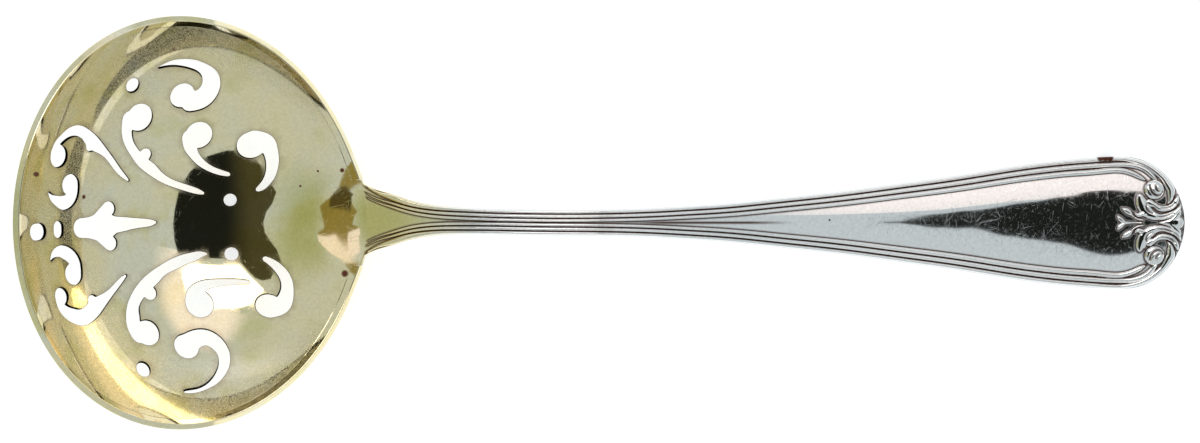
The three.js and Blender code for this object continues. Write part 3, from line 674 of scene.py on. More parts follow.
def flood(triangles, fences, seed):
    """The triangles that can be reached from the seed without crossing a fence."""
    beside = {}
    for number, (a, b, c) in enumerate(triangles):
        for edge in ((a, b), (b, c), (c, a)):
            beside.setdefault(frozenset(edge), []).append(number)
    reached, waiting = {seed}, [seed]
    while waiting:
        a, b, c = triangles[waiting.pop()]
        for edge in (frozenset((a, b)), frozenset((b, c)), frozenset((c, a))):
            if edge not in fences:
                fresh = [number for number in beside[edge] if number not in reached]
                reached.update(fresh)
                waiting.extend(fresh)
    return [triangles[number] for number in sorted(reached)]


# The wall is worn where the upright part of its unit normal is below worn_from, and fully a step lower
worn_from = 0.88
worn_step = 0.16


def sheet_outline():
    """The sheet's outer edge: its lip at the stem, and elsewhere the line where the rim wire starts."""
    wall_angle = root_angle + PROBE
    return np.concatenate([
        skin_place(1.0, np.linspace(-root_angle, root_angle, root_edge_steps)),
        skin_place(rim_from_share - PROBE, np.linspace(wall_angle, 2 * np.pi - wall_angle, wall_edge_steps)),
    ])


def sheet_triangles(field, borders):
    """The sheet's places and triangles, and the numbers of the places on each border."""
    starts = np.cumsum([0] + [len(border) for border in borders])
    edges = [edge for start, border in zip(starts, borders) for edge in loop_edges(len(border), start)]
    given = np.concatenate(borders + [fill_places(field)])
    places, triangles, index_of, fences = triangulated(given, edges, WHOLE)
    middles = places[np.array(triangles)].mean(1)
    seed = int(np.argmax(field_value(field, *middles.T) - np.hypot(*middles.T) / bowl_half_width))
    numbers = [[index_of[i] for i in range(start, stop)] for start, stop in zip(starts, starts[1:])]
    return places, flood(triangles, fences, seed), numbers


def saw_cut(loop):
    """The rings of points down a piercing's edge, each with its normals."""
    out = ways_out(loop)
    out_3d = unit(bowl_surface(*(loop + out * PROBE).T) - bowl_surface(*loop.T))
    square = bowl_normal(*loop.T)
    tilts = [unit(square - out_3d), -out_3d, -out_3d, unit(-square - out_3d)]
    soft, deep, turn = edge_softness, sheet_thickness, saw_round_share
    levels = ((turn, turn * soft), (0, soft), (0, deep - soft), (turn, deep - turn * soft))
    beside = np.zeros(len(loop))
    return [sheet_point(loop + out * soft * away, depth, beside) for away, depth in levels], tilts


def make_bowl():
    field = piercing_field()
    loops = [evened(loop, loop_spacing) for loop in zero_loops(field)]
    borders = [loop + ways_out(loop) * edge_softness for loop in loops] + [sheet_outline()]
    places, triangles, numbers = sheet_triangles(field, borders)
    count = len(places)
    clear = np.maximum(field_value(field, *places.T), 0)
    normal = bowl_normal(*places.T)
    points = [sheet_point(places, 0, clear), sheet_point(places, sheet_thickness, clear)]
    normals = [normal, -normal]
    tarnish = [lip_tarnish * (clear < 2 * edge_softness), np.zeros(count)]
    wall = ease((worn_from - normal[:, 2]) / worn_step)
    worn = [wall, wall]
    faces = slab_faces(triangles, numbers[-1], count)
    total = 2 * count
    for top, loop in zip(numbers, loops):
        rings, tilts = saw_cut(loop)
        points += rings
        normals += tilts
        rows = [top]
        for _ in rings:
            tarnish.append(np.ones(len(loop)))
            worn.append(np.zeros(len(loop)))
            rows.append(range(total, total + len(loop)))
            total += len(loop)
        rows.append([count + i for i in top])
        for upper, lower in zip(rows, rows[1:]):
            faces += [(upper[j], upper[i], lower[i], lower[j]) for i, j in loop_edges(len(loop))]
    used = sorted({i for face in faces for i in face})
    renumber = {old: new for new, old in enumerate(used)}
    faces = [tuple(renumber[i] for i in face) for face in faces]
    piece = add_mesh(
        "bowl_sheet", np.concatenate(points)[used], faces, np.concatenate(normals)[used],
        tarnish=np.concatenate(tarnish)[used], worn=np.concatenate(worn)[used], gold=np.ones(len(used)))
    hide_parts("bowl")
    return piece


rim_steps = 420
corner_steps = 5
seam_rounding = 0.01


def rounded_section(length, height, radii):
    """A rectangle's outline and its angles, from (0, 0) to (length, height), each corner with its radius."""
    corners = ((0, 0, 180), (length, 0, 270), (length, height, 0), (0, height, 90))
    section = []
    for (x, y, turn), radius in zip(corners, radii):
        middle_x = x + (radius if x == 0 else -radius)
        middle_y = y + (radius if y == 0 else -radius)
        for k in range(corner_steps):
            angle = math.radians(turn + 90 * k / (corner_steps - 1))
            section.append((middle_x + radius * math.cos(angle), middle_y + radius * math.sin(angle), angle))
    return section


def make_rim():
    angles = np.linspace(root_angle + PROBE, 2 * np.pi - root_angle - PROBE, rim_steps)
    section = rounded_section(rim_height, rim_thickness, (seam_rounding,) + 3 * (rim_rounding,))
    rings, tilts = [], []
    for number, (out, down, angle) in enumerate(section):
        share = mix(rim_from_share, 1, out / rim_height)
        here = skin_place(share, angles)
        up = bowl_normal(*here.T)
        away = unit(bowl_surface(*skin_place(share + PROBE, angles).T) - bowl_surface(*here.T))
        rings.append(bowl_surface(*here.T) - down * up)
        tilts.append(up if number < corner_steps else math.cos(angle) * away - math.sin(angle) * up)
    points, faces = loft(np.stack(rings, 1))
    normals = np.concatenate([np.stack(tilts, 1).reshape(-1, 3), np.zeros((2, 3))])
    count = len(points)
    piece = add_mesh("rim_band", points, faces, normals, tarnish=np.zeros(count), gold=np.ones(count))
    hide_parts("rim_wire")
    return piece


# Routes of the border and the ornament over the handle's top: rows of x, y and half-width
reed_tails = dict(zip(reed_names, reed_tail_shares))
route_places = 34
route_crowding = 1.25
reed_setback = 0.3
reed_swell = 4.0
reed_slim_share = 0.3
route_spacing = 0.2
sides = (("left", 1), ("right", -1))


def pitches_at(x):
    """The pitch of each reed of the border at x, from the outside in."""
    root, stem, plate = (np.array(row)[:, None] for row in (root_pitches, stem_pitches, plate_pitches))
    upper = mix(root, stem, ease(along(x) / (crest_share / 2)))
    return mix(upper, plate, ease((along(x) - crest_share) / (plate_start_share - crest_share)))


def tip_places(rows, side):
    back, out, half = np.array(rows).T * plate_half_width
    return np.stack([tip_x - back, side * out, half], 1)


def reed_places(row, side, tail):
    """A reed keeps its distance from the handle's outline until it turns into its part of the scrollwork."""
    reed_start = handle_start + reed_setback * (1 + row)
    x = mix(reed_start, plate_start, (np.arange(route_places + 1) / route_places) ** route_crowding)
    pitches = pitches_at(x)
    inset = pitches[row] / 2 + pitches[:row].sum(0)
    slope = (half_width(x + PROBE) - half_width(x - PROBE)) / (2 * PROBE)
    share = inset / np.hypot(1, slope)
    y = middle_y(x) + side * (half_width(x) - share)
    swelling = mix(reed_slim_share, 1, ease((x - reed_start) / reed_swell))
    straight = np.stack([x + share * slope, y, swelling * (pitches[row] - reed_groove) / 2], 1)
    return np.concatenate([straight, tip_places(tail, side)])


def smooth_routes(tables, side=1):
    return [smooth_path(tip_places(rows, side), route_spacing) for rows in tables]


def both_sides(rows):
    return [route for _, side in sides for route in smooth_routes([rows], side)]


def border_reeds():
    """The route of each reed, by the name of its node."""
    reeds = {}
    for side_name, side in sides:
        for row, name in enumerate(reed_names):
            route = reed_places(row, side, reed_tails[name])
            reeds[f"{name}_{side_name}"] = smooth_path(route, route_spacing)
    return reeds


def ornament_reliefs():
    """Node name, height, strokes and grooves of each piece of the scrollwork."""
    leaf_strokes = [leaf_blade_shares, leaf_lobe_shares]
    kinds = (
        ("volute", volute_height, [volute_shares], [volute_groove_shares, volute_eye_shares]),
        ("scroll", scroll_height, [scroll_shares], [scroll_groove_shares]),
        ("leaf", leaf_height, leaf_strokes, [leaf_groove_shares, leaf_fold_shares]),
        ("bud", bud_height, [side_bud_shares], []),
    )
    reliefs = []
    for side_name, side in sides:
        for name, height, strokes, grooves in kinds:
            routes = smooth_routes(strokes, side), smooth_routes(grooves, side)
            reliefs.append((f"{name}_{side_name}", height, *routes))
    bud = smooth_routes([bud_stem_shares]) + both_sides(bud_lobe_shares)
    reliefs.append(("bud_centre", bud_height, bud, []))
    crest = smooth_routes([crest_shares]) + both_sides(crest_wing_shares)
    reliefs.append(("tip_crest", crest_relief_height, crest, []))
    return reliefs


gilt_from = 18.0
gilt_to = 34.0


def gold_at(x):
    return 1 - ease((x - gilt_from) / (gilt_to - gilt_from))


bar_columns = 13
foot_share = 0.3
end_start = route_spacing / 8


def make_reed(name, route):
    """A half-round bar along a route, drawn in to a rounded point at both ends."""
    x, y, half = route.T
    steps = np.concatenate([[0], np.cumsum(np.hypot(np.diff(x), np.diff(y)))])
    to_end = np.minimum(steps, steps[-1] - steps) + end_start
    half = half * np.sqrt(1 - (1 - np.minimum(to_end / half, 1)) ** 2)
    tangent = unit(np.stack([np.gradient(x), np.gradient(y)], 1))
    turn = np.linspace(0, np.pi, bar_columns)
    across = np.concatenate([np.cos(turn), [-1, 1]])
    up = np.concatenate([np.sin(turn), [0, 0]])
    sunk = np.concatenate([np.zeros(bar_columns), [ornament_sink, ornament_sink]])
    reach = half[:, None] * across
    px = x[:, None] - tangent[:, 1:] * reach
    py = y[:, None] + tangent[:, :1] * reach
    rise = (reed_height * np.minimum(1, half / thin_end))[:, None] * up
    points, faces = loft(np.stack([px, py, handle_top(px, py) + rise - sunk], -1))
    foot = np.append(np.broadcast_to(1 - ease(up / foot_share), px.shape).ravel(), [0, 0])
    piece = add_mesh(f"{name}_fine", points, faces, tarnish=foot, gold=gold_at(points[:, 0]))
    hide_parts(name)
    return piece


relief_grid = 0.04
relief_spacing = 0.1
relief_edge = 0.04
relief_fullness = 0.3
relief_margin = plate_half_width / 5
groove_depth_share = 0.55


def relief_field(strokes, grooves, height, low, high):
    """A grid of the relief's height and one of how deep the grooves cut, from 0 to 1."""
    us = np.arange(low[0], high[0], relief_grid)
    vs = np.arange(low[1], high[1], relief_grid)
    rise, cut = np.zeros((2, len(us), len(vs)))
    for grid, routes in ((rise, strokes), (cut, grooves)):
        for u, v, r in (disc for route in routes for disc in route):
            i = slice(*np.searchsorted(us, (u - r, u + r)))
            j = slice(*np.searchsorted(vs, (v - r, v + r)))
            room = np.maximum(1 - ((us[i, None] - u) ** 2 + (vs[None, j] - v) ** 2) / r**2, 0)
            dome = height * min(1, r / thin_end) * room**relief_fullness if grid is rise else room
            grid[i, j] = np.maximum(grid[i, j], dome)
    return (us, vs, rise * (1 - groove_depth_share * cut)), (us, vs, cut)


def make_relief(name, height, strokes, grooves):
    """A closed solid that lies on the handle, domed along its strokes and cut by its grooves."""
    discs = np.concatenate([smooth_path(route, trace_spacing) for route in strokes])
    low = discs[:, :2].min(0) - relief_margin
    high = discs[:, :2].max(0) + relief_margin
    outside = distance_field(discs, low, high, relief_grid, far_reach)
    fine_grooves = [smooth_path(route, trace_spacing) for route in grooves]
    rise, cut = relief_field([discs], fine_grooves, height, low, high)
    outline = evened(max(zero_loops(outside), key=len), relief_spacing)
    inset = outline - ways_out(outline) * relief_edge
    u, v = np.meshgrid(*(np.arange(start, stop, relief_spacing) for start, stop in zip(low, high)))
    fill = np.stack([u.ravel(), v.ravel()], 1)
    fill = fill[field_value(outside, *fill.T) < -relief_edge - relief_spacing / fill_gap_parts]
    given = np.concatenate([outline, inset, fill])
    places, triangles, index_of, _ = triangulated(given, loop_edges(len(outline)), ENCLOSED)
    border = [index_of[i] for i in range(len(outline))]
    count = len(places)
    base = handle_top(*places.T)
    up = field_value(rise, *places.T)
    up[border] = 0
    top = np.column_stack([places, base + up])
    bottom = np.column_stack([places, base - ornament_sink])
    faces = slab_faces(triangles, border, count)
    dirt = np.maximum(1 - ease(up / (foot_share * height)), field_value(cut, *places.T) ** 2)
    marks = {"tarnish": np.concatenate([dirt, np.zeros(count)]), "gold": np.zeros(2 * count)}
    piece = add_mesh(f"{name}_fine", np.concatenate([top, bottom]), faces, **marks)
    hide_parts(name)
    return piece


# Handle blank with the heel's drop under the bowl
station_spacing = 0.4
tip_spacing = 0.13
ornament_zone = 13.0
top_columns = 150
bottom_columns = 40
heel_rows = 26
heel_crowding = 1.5
tip_crowding = 1.4
heel_blend = 0.6
foot_reach = 0.28
line_from = 48.0
line_to = 72.4
line_fade = 7.0
line_reach = 0.3
seam = 0.05


def heel_low(x, y):
    """The height of the drop's lower side, and whether the place is within the drop's outline."""
    c, s = math.cos(bowl_tilt), math.sin(bowl_tilt)
    dx = x - (handle_start - heel_ahead)
    long, tall = heel_reach**-2, heel_half_height**-2
    a = s**2 * long + c**2 * tall
    b = dx * c * s * (long - tall)
    k = dx**2 * (c**2 * long + s**2 * tall) - 1 + (y / heel_half_width) ** 2
    room = b**2 - a * k
    middle = spine_height(handle_start) - heel_half_height + heel_rise
    return middle - (b + np.sqrt(np.maximum(room, 0))) / a, room > 0


def heel_rings():
    """Rings of the drop ahead of the blank, from its tip under the bowl to the blank's front."""
    def roof(x, y):
        return handle_top(x, y) - sheet_thickness - seam

    def gap(x, y):
        low, within = heel_low(x, y)
        return np.where(within, roof(x, y) - low, -1)

    far = handle_start - heel_ahead - heel_reach
    tip = float(root_of(lambda x: gap(x, 0.0), np.array(far), np.array(handle_start)))
    x = mix(tip + seam, handle_start - seam, np.linspace(0, 1, heel_rows) ** heel_crowding)[:, None]
    wide = root_of(lambda y: -gap(x, y), np.zeros_like(x), np.full_like(x, heel_half_width))
    top_y = np.linspace(-1, 1, top_columns)[None] * wide
    low_count = 2 * (2 * corner_steps - 1) + bottom_columns - 2
    low_y = np.sin(np.linspace(np.pi / 2, -np.pi / 2, low_count))[None] * wide
    top = np.stack(np.broadcast_arrays(x, top_y, roof(x, top_y)), -1)
    low = np.stack(np.broadcast_arrays(x, low_y, heel_low(x, low_y)[0]), -1)
    return np.concatenate([top, low], 1)


def edge_follow(x, y):
    """The blank's front end follows the bowl's edge."""
    angle = np.arcsin(np.clip(y / (bowl_half_width * (1 - egg_share)), -1, 1))
    edge = dish_point(*skin_place(1.0, angle).T)[..., 0].T
    return x + (edge - handle_start) * (1 - ease((x - handle_start) / junction_reach))


def blank_rings(xs):
    """Rings of the blank: the top from right to left, the left edge, the underside and the right edge."""
    half, middle, bottom = half_width(xs)[:, None], middle_y(xs)[:, None], underside(xs)[:, None]
    xs = xs[:, None]
    soft = np.minimum(edge_rounding, half / 4)
    chamfer = np.minimum(half, edge_thickness) / 2
    corner = np.linspace(0, np.pi / 2, corner_steps)[None]
    top_y = middle + np.linspace(-1, 1, top_columns)[None] * (half - soft)
    top_x = edge_follow(xs, top_y)
    top = np.stack([top_x, top_y, handle_top(top_x, top_y)], -1)

    def edge(side):
        edge_y = middle + side * half
        edge_x = edge_follow(xs, edge_y)
        edge_z = handle_top(edge_x, edge_y)
        low_z = np.maximum(edge_z - edge_thickness, bottom + chamfer / 2)
        rolled = corner[:, 1:]
        roll_y = edge_y - side * soft * (1 - np.sin(rolled))
        low_y = edge_y - side * chamfer * (1 - np.cos(corner))
        roll_z = edge_z - soft * (1 - np.cos(rolled))
        foot_z = low_z - (low_z - bottom) * np.sin(corner)
        y = np.concatenate([roll_y, low_y], 1)
        return np.stack([np.broadcast_to(edge_x, y.shape), y, np.concatenate([roll_z, foot_z], 1)], -1)

    floor_y = middle + np.linspace(1, -1, bottom_columns)[None, 1:-1] * (half - chamfer)
    floor_x = edge_follow(xs, floor_y)
    drop, within = heel_low(floor_x, floor_y)
    floor_z = np.where(within, soft_min(drop, bottom, heel_blend), bottom)
    floor_part = np.stack([floor_x, floor_y, floor_z], -1)
    return np.concatenate([top, edge(1), floor_part, edge(-1)[:, ::-1]], 1)


def blank_stations():
    straight_end = tip_x - ornament_zone
    straight = np.arange(handle_start, straight_end, station_spacing)
    ornament = np.arange(straight_end, plate_start, tip_spacing)
    turn = np.linspace(0, np.pi / 2, round((tip_x - plate_start) / tip_spacing * tip_crowding))
    round_end = mix(plate_start, tip_x, np.sin(turn))[:-1]
    return np.concatenate([straight, ornament, round_end])


def make_handle(routes):
    rings = np.concatenate([heel_rings(), blank_rings(blank_stations())])[:, ::-1]
    points, faces = loft(rings)
    roof = np.s_[heel_rows:, -top_columns:]
    low = (handle_start - far_reach, -plate_half_width - far_reach)
    high = (tip_x + far_reach, plate_half_width + far_reach)
    feet = distance_field(np.concatenate(routes), low, high, grid_spacing, far_reach)
    clear = field_value(feet, rings[..., 0], rings[..., 1])
    tarnish = np.zeros_like(clear)
    x, y, _ = np.moveaxis(rings[roof], -1, 0)
    line = 1 - ease(np.abs(y - middle_y(x)) / line_reach)
    line *= ease((x - line_from) / line_fade) * ease((line_to - x) / line_fade)
    tarnish[roof] = np.maximum(1 - ease(clear[roof] / foot_reach), line)
    normals = np.zeros_like(rings)
    normals[roof] = top_normal(x, y)
    marks = np.append(tarnish.ravel(), [0, 0])
    normals = np.concatenate([normals.reshape(-1, 3), np.zeros((2, 3))])
    piece = add_mesh("handle_blank", points, faces, normals, tarnish=marks, gold=gold_at(points[:, 0]))
    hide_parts("handle")
    return piece


# Materials
def add_node(tree, kind, settings=(), **inputs):
    """A node with its settings and inputs. An input is given by its name, or by _ and its number."""
    node = tree.nodes.new("ShaderNode" + kind)
    for name, value in dict(settings).items():
        setattr(node, name, value)
    for name, value in inputs.items():
        socket = node.inputs[int(name[1:])] if name[0] == "_" else node.inputs[name.replace("_", " ")]
        if isinstance(value, bpy.types.NodeSocket):
            tree.links.new(value, socket)
        else:
            socket.default_value = value
    return node


def new_material(name):
    material = bpy.data.materials.new(name)
    material.use_nodes = True
    tree = material.node_tree
    tree.nodes.clear()
    return material, tree


def mark(tree, name):
    return add_node(tree, "Attribute", {"attribute_name": name}).outputs["Fac"]


def blend_colours(tree, share, start, end):
    return add_node(tree, "Mix", {"data_type": "RGBA"}, _0=share, _6=start, _7=end).outputs[2]


def blend_values(tree, share, start, end):
    return add_node(tree, "Mix", _0=share, _2=start, _3=end).outputs[0]


def maths(tree, operation, *values):
    inputs = {f"_{i}": value for i, value in enumerate(values)}
    return add_node(tree, "Math", {"operation": operation}, **inputs).outputs[0]


def smooth_step(tree, value, low, high):
    settings = {"interpolation_type": "SMOOTHSTEP"}
    inputs = {"Value": value, "From_Min": low, "From_Max": high}
    return add_node(tree, "MapRange", settings, **inputs).outputs[0]


def noise(tree, place, scale, detail, rough=0.5):
    inputs = {"Vector": place, "Scale": scale, "Detail": detail, "Roughness": rough}
    return add_node(tree, "TexNoise", **inputs).outputs["Fac"]


def stretched(tree, place, angle, length, width):
    """A place for a texture that is drawn out in one direction, by a length and a width in millimetres."""
    turn = (0, 0, math.radians(angle))
    size = (length * MM, width * MM, 1)
    settings = {"vector_type": "TEXTURE"}
    return add_node(tree, "Mapping", settings, Vector=place, Rotation=turn, Scale=size).outputs[0]


# Hairlines: each direction's texture is a little finer than the one before it
hair_angles = (12, -28, 47, 84, -63)
hair_length = 4.0
hair_width = 0.1
hair_patch_width = 1.5
hair_finer = 0.13
hair_patch_finer = 0.31
hair_band = (0.66, 0.78)
hair_patch_band = (0.5, 0.66)


def hairlines(tree, place):
    """Fine straight scratches in several directions, 0 to 1."""
    total = None
    for number, angle in enumerate(hair_angles):
        thin = stretched(tree, place, angle, hair_length, hair_width)
        wide = stretched(tree, place, angle, hair_length, hair_patch_width)
        lines = smooth_step(tree, noise(tree, thin, 1.0 + hair_finer * number, 1.0), *hair_band)
        patches = noise(tree, wide, 1.0 + hair_patch_finer * number, 1.0)
        line = maths(tree, "MULTIPLY", lines, smooth_step(tree, patches, *hair_patch_band))
        total = line if total is None else maths(tree, "MAXIMUM", total, line)
    return total


def specks(tree, place, scale, radius, kept_share):
    """Small round pits and spots, in a few of the cells that the surface is divided into."""
    cells = add_node(tree, "TexVoronoi", Vector=place, Scale=scale)
    chosen = add_node(tree, "SeparateColor", Color=cells.outputs["Color"]).outputs[0]
    near = maths(tree, "SUBTRACT", 1.0, smooth_step(tree, cells.outputs["Distance"], radius / 2, radius))
    return maths(tree, "MULTIPLY", near, maths(tree, "LESS_THAN", chosen, kept_share))


def distance(tree, place, centre, scale):
    """How far a place lies from a centre in millimetres, in metres times the scale of each axis."""
    value = place
    for operation, other in (("SUBTRACT", np.array(centre) * MM), ("MULTIPLY", scale)):
        settings = {"operation": operation}
        value = add_node(tree, "VectorMath", settings, _0=value, _1=other).outputs[0]
    return add_node(tree, "VectorMath", {"operation": "LENGTH"}, _0=value).outputs["Value"]


def with_spots(tree, dirt, place, spots):
    """Dirt with round marks added to it."""
    for x, y, radius in spots:
        away = distance(tree, place, (x, y, 0), (1, 1, 0))
        round_mark = maths(tree, "SUBTRACT", 1.0, smooth_step(tree, away, radius * MM / 2, radius * MM))
        dirt = maths(tree, "MAXIMUM", dirt, round_mark)
    return dirt


silver_colour = (0.88, 0.87, 0.86, 1)
gilt_colour = (0.9, 0.78, 0.48, 1)
gilt_grey_colour = (0.84, 0.78, 0.58, 1)
gilt_olive_colour = (0.78, 0.7, 0.37, 1)
tarnish_colour = (0.08, 0.03, 0.018, 1)
kerf_colour = (0.2, 0.07, 0.05, 1)

# Round marks: x, y and radius in millimetres. The silver's last three are the nick on the border's edge.
silver_spots = (
    (76.0, 0.35, 0.17), (98.1, 0.75, 0.12), (110.9, 8.3, 0.6), (111.5, 8.3, 0.6), (112.1, 8.3, 0.6))
gilt_spots = (
    (13.75, 6.7, 0.35), (10.6, 6.6, 0.2), (8.3, 4.7, 0.2), (14.1, -6.5, 0.55), (-24.3, 6.1, 0.4),
    (-4.0, -9.0, 0.15))

# Textures: scales are per metre, depths in metres, and a band is where a noise turns from 0 to 1
grain_scale = 2600.0
grain_range = (0.88, 1.12)
haze_scale = 14000.0
haze_band = (0.48, 0.6)
haze_roughness = 0.6
hair_roughness = 0.14
hair_depth = 0.000001
dirt_roughness = 0.5
dent_scale = 110.0
gilt_polish = 0.04
gilt_dent = 0.00002
cloud_scale = 90.0
cloud_band = (0.35, 0.65)
patch_scale = 210.0
patch_band = (0.5, 0.75)
pit_scale = 260.0
pit_radius = 0.1
pit_share = 0.12
silver_polish = 0.035
silver_dent = 0.00003
silver_haze = 0.35
silver_haze_scale = 2400.0
silver_haze_band = (0.5, 0.8)


def finish_metal(tree, colour, dirt, dark, place, polish, dent, worn):
    """A polished metal with hairlines, grain, shallow dents, dirt and a fine haze where it is worn."""
    grain = blend_values(tree, noise(tree, place, grain_scale, 1.0), *grain_range)
    grained = add_node(tree, "VectorMath", {"operation": "SCALE"}, _0=colour, Scale=grain)
    colour = blend_colours(tree, dirt, grained.outputs[0], dark)
    hair = hairlines(tree, place)
    haze = smooth_step(tree, noise(tree, place, haze_scale, 0.0), *haze_band)
    haze = maths(tree, "MULTIPLY", haze, worn)
    roughness = blend_values(tree, hair, polish, hair_roughness)
    roughness = blend_values(tree, haze, roughness, haze_roughness)
    roughness = blend_values(tree, dirt, roughness, dirt_roughness)
    waves = maths(tree, "MULTIPLY", noise(tree, place, dent_scale, 1.0), dent)
    height = maths(tree, "SUBTRACT", waves, maths(tree, "MULTIPLY", hair, hair_depth))
    bump = add_node(tree, "Bump", Height=height, Distance=1.0, Strength=1.0)
    shader = add_node(
        tree, "BsdfPrincipled", Base_Color=colour, Metallic=1.0, Roughness=roughness,
        Normal=bump.outputs["Normal"])
    add_node(tree, "OutputMaterial", Surface=shader.outputs["BSDF"])


def make_gilt():
    material, tree = new_material("gilt")
    place = add_node(tree, "TexCoord").outputs["Object"]
    clouds = smooth_step(tree, noise(tree, place, cloud_scale, 3.0, 0.6), *cloud_band)
    patches = smooth_step(tree, noise(tree, place, patch_scale, 2.0), *patch_band)
    colour = blend_colours(tree, clouds, gilt_grey_colour, gilt_colour)
    colour = blend_colours(tree, patches, colour, gilt_olive_colour)
    pits = specks(tree, place, pit_scale, pit_radius, pit_share)
    dirt = with_spots(tree, maths(tree, "MAXIMUM", mark(tree, "tarnish"), pits), place, gilt_spots)
    finish_metal(tree, colour, dirt, kerf_colour, place, gilt_polish, gilt_dent, mark(tree, "worn"))
    return material


def make_silver():
    material, tree = new_material("silver")
    place = add_node(tree, "TexCoord").outputs["Object"]
    colour = blend_colours(tree, mark(tree, "gold"), silver_colour, gilt_colour)
    worn = smooth_step(tree, noise(tree, place, silver_haze_scale, 3.0, 0.7), *silver_haze_band)
    worn = maths(tree, "MULTIPLY", worn, silver_haze)
    dirt = with_spots(tree, mark(tree, "tarnish"), place, silver_spots)
    finish_metal(tree, colour, dirt, tarnish_colour, place, silver_polish, silver_dent, worn)
    return material


# Surroundings: what the metal reflects, on cards a few millimetres apart over the spoon, the dark one
# lowest. Their outlines are in millimetres, seen from above, and the camera doesn't see them.
floor_half = 5000.0
floor_drop = 0.1
floor_colour = (0.8, 0.8, 0.8, 1)
floor_glow = 0.6
card_height = 275.0
dome_colour = (0.58, 0.64, 0.66, 1)
glow_colour = (1.078, 1.012, 0.99, 1)
olive_colour = (0.41, 0.46, 0.28, 1)
window_colour = (0.84, 0.88, 0.96, 1)
lamp_colour = (4.0, 3.92, 3.8, 1)
dark_olive_colour = (0.07, 0.066, 0.032, 1)
dark_colour = (0.012, 0.014, 0.012, 1)
dark_turn = (-70, 20)
lamp_lift = 3
dark_outline = [
    (162, 0), (157, -27), (145, -65), (113, -105), (60, -144), (0, -162), (-41, -164), (-87, -145),
    (-119, -115), (-124, -89), (-140, -70), (-124, -43), (-103, -23), (-93, 0), (-98, 21), (-117, 40),
    (-141, 60), (-162, 94), (-139, 117), (-133, 134), (-105, 134), (-80, 123), (-60, 106), (-33, 82),
    (0, 70), (69, 68), (111, 69), (147, 63), (159, 34),
]
lamp_outline = [
    (106, 82), (-29, 87), (-63, 117), (-115, 163), (-118, 181), (-101, 203), (-48, 212), (18, 207),
    (84, 191), (130, 150), (140, 116), (133, 92),
]
glow_outline = [(-110, 84), (112, 84), (128, 57), (290, 45), (290, 560), (-110, 560)]


def rectangle(low_x, low_y, high_x, high_y):
    return [(low_x, low_y), (high_x, low_y), (high_x, high_y), (low_x, high_y)]


def flat_card(name, outline, height, material):
    mesh = bpy.data.meshes.new(name)
    corners = [(x * MM, y * MM, height * MM) for x, y in outline]
    mesh.from_pydata(corners, [], [tuple(range(len(corners)))])
    mesh.materials.append(material)
    card = add_object(name, mesh)
    return card


def reflection_card(name, outline, height, material):
    card = flat_card(name, outline, height, material)
    card.visible_camera = False
    card.visible_shadow = False
    card.visible_diffuse = False
    card.visible_transmission = False
    return card


def emitter(name):
    """A material that only glows, with a place in metres for its pattern and a way to end it."""
    material, tree = new_material(name)
    place = add_node(tree, "TexCoord").outputs["Object"]

    def end(colour):
        glow = add_node(tree, "Emission", Color=colour, Strength=1.0)
        add_node(tree, "OutputMaterial", Surface=glow.outputs[0])
        return material

    return tree, place, end


def make_dark():
    """Dark olive to the left, nearly black to the right."""
    tree, place, end = emitter("dark_card")
    x = add_node(tree, "SeparateXYZ", Vector=place).outputs[0]
    turned = smooth_step(tree, x, *(value * MM for value in dark_turn))
    return end(blend_colours(tree, turned, dark_olive_colour, dark_colour))


def make_glow(name, colour, centre, reach, full_share):
    """A light that is full in the middle share of an ellipse and fades to the world's colour at its edge."""
    tree, place, end = emitter(name)
    scale = (1 / (reach[0] * MM), 1 / (reach[1] * MM), 0)
    away = distance(tree, place, (*centre, 0), scale)
    return end(blend_colours(tree, smooth_step(tree, away, full_share, 1.0), colour, dome_colour))


def make_plain(name, colour):
    return emitter(name)[2](colour)


# The low surroundings past the bowl's far side, on upright cards one before the other: each a colour and
# an outline of y and height
far_place = -400.0
far_step = 3.0
far_outlines = (
    ((0.28, 0.23, 0.066, 1), [
        (-170, 60), (130, 60), (130, 205), (57, 213), (42, 216), (38, 242), (28, 287), (21, 303), (14, 280),
        (6, 250), (-9, 260), (-24, 274), (-29, 240), (-38, 220), (-59, 220), (-120, 230), (-170, 232),
    ]),
    ((0.08, 0.065, 0.02, 1), [(-14, 212), (-16, 236), (-28, 236), (-40, 220), (-44, 208), (-30, 204)]),
    ((0.98, 0.9, 0.9, 1), [
        (12, 222), (15, 240), (21, 303), (28, 287), (38, 242), (44, 216), (54, 208), (38, 206),
    ]),
)


def make_far_cards():
    for number, (colour, outline) in enumerate(far_outlines):
        upright = [(-z, y) for y, z in outline]
        card = reflection_card(f"far_card_{number}", upright, 0, make_plain("far", colour))
        card.rotation_euler = (0, math.pi / 2, 0)
        card.location = ((far_place + far_step * number) * MM, 0, 0)


# Fading lights: card, material, outline, height over the dark card, and what make_glow is told
window_outline = rectangle(-650, 450, 350, 1350)
olive_outline = rectangle(-530, -240, -50, 240)
soft_lights = (
    ("glow_card", "lamp_glow", glow_outline, 6, glow_colour, (90, 220), (195, 335), 0.45),
    ("window_card", "window", window_outline, 7, window_colour, (-150, 900), (500, 450), 0.1),
    ("olive_card", "olive_glow", olive_outline, 4, olive_colour, (-290, 0), (235, 235), 0.15),
)


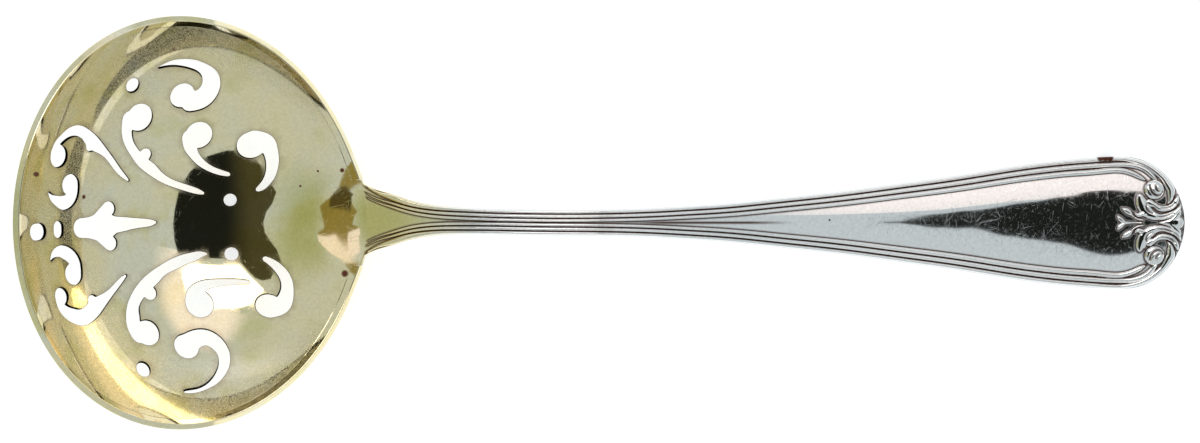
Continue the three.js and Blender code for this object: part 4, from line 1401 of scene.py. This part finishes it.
def make_cards():
    for name, material, outline, lift, *light in soft_lights:
        reflection_card(name, outline, card_height + lift, make_glow(material, *light))
    reflection_card("lamp_card", lamp_outline, card_height + lamp_lift, make_plain("lamp", lamp_colour))
    reflection_card("dark_card", dark_outline, card_height, make_dark())
    make_far_cards()


def make_floor():
    """A white table that keeps the spoon's shadow. Eye, metal and glass all see it white."""
    material, tree = new_material("floor")
    path = add_node(tree, "LightPath")
    seen = maths(tree, "MAXIMUM", path.outputs["Is Camera Ray"], path.outputs["Is Glossy Ray"])
    seen = maths(tree, "MAXIMUM", seen, path.outputs["Is Transmission Ray"])
    diffuse = add_node(tree, "BsdfDiffuse", Color=floor_colour)
    glow = add_node(tree, "Emission", Strength=maths(tree, "MULTIPLY", seen, floor_glow))
    both = add_node(tree, "AddShader", _0=diffuse.outputs[0], _1=glow.outputs[0])
    add_node(tree, "OutputMaterial", Surface=both.outputs[0])
    flat_card("floor", rectangle(-floor_half, -floor_half, floor_half, floor_half), -floor_drop, material)


def make_world():
    world = bpy.data.worlds.new("studio")
    world.use_nodes = True
    tree = world.node_tree
    tree.nodes.clear()
    back = add_node(tree, "Background", Color=dome_colour, Strength=1.0)
    add_node(tree, "OutputWorld", Surface=back.outputs[0])
    bpy.context.scene.world = world


# Camera: the photograph looks straight down
picture_width = 1200
pixel_size = 0.1285
camera_place = (46.7, 0.154, 900.0)
camera_reach = 20.0


def make_camera():
    data = bpy.data.cameras.new("camera")
    data.lens = data.sensor_width * camera_place[2] / (picture_width * pixel_size)
    data.clip_end = camera_reach
    camera = add_object("camera", data)
    camera.location = np.array(camera_place) * MM
    bpy.context.scene.camera = camera


def main():
    reeds = border_reeds()
    reliefs = ornament_reliefs()
    strokes = [route for _, _, routes, _ in reliefs for route in routes]
    gilt, silver = make_gilt(), make_silver()
    golden = [make_bowl(), make_rim()]
    white = [make_handle(list(reeds.values()) + strokes)]
    white += [make_reed(name, route) for name, route in reeds.items()]
    white += [make_relief(*relief) for relief in reliefs]
    for pieces, material, slot in ((golden, gilt, "gilt"), (white, silver, "silver")):
        for piece in pieces:
            piece.data.materials.append(material)
            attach(piece, "root")
    make_floor()
    make_world()
    make_cards()
    make_camera()
    bpy.context.scene.view_settings.view_transform = "Standard"


main()
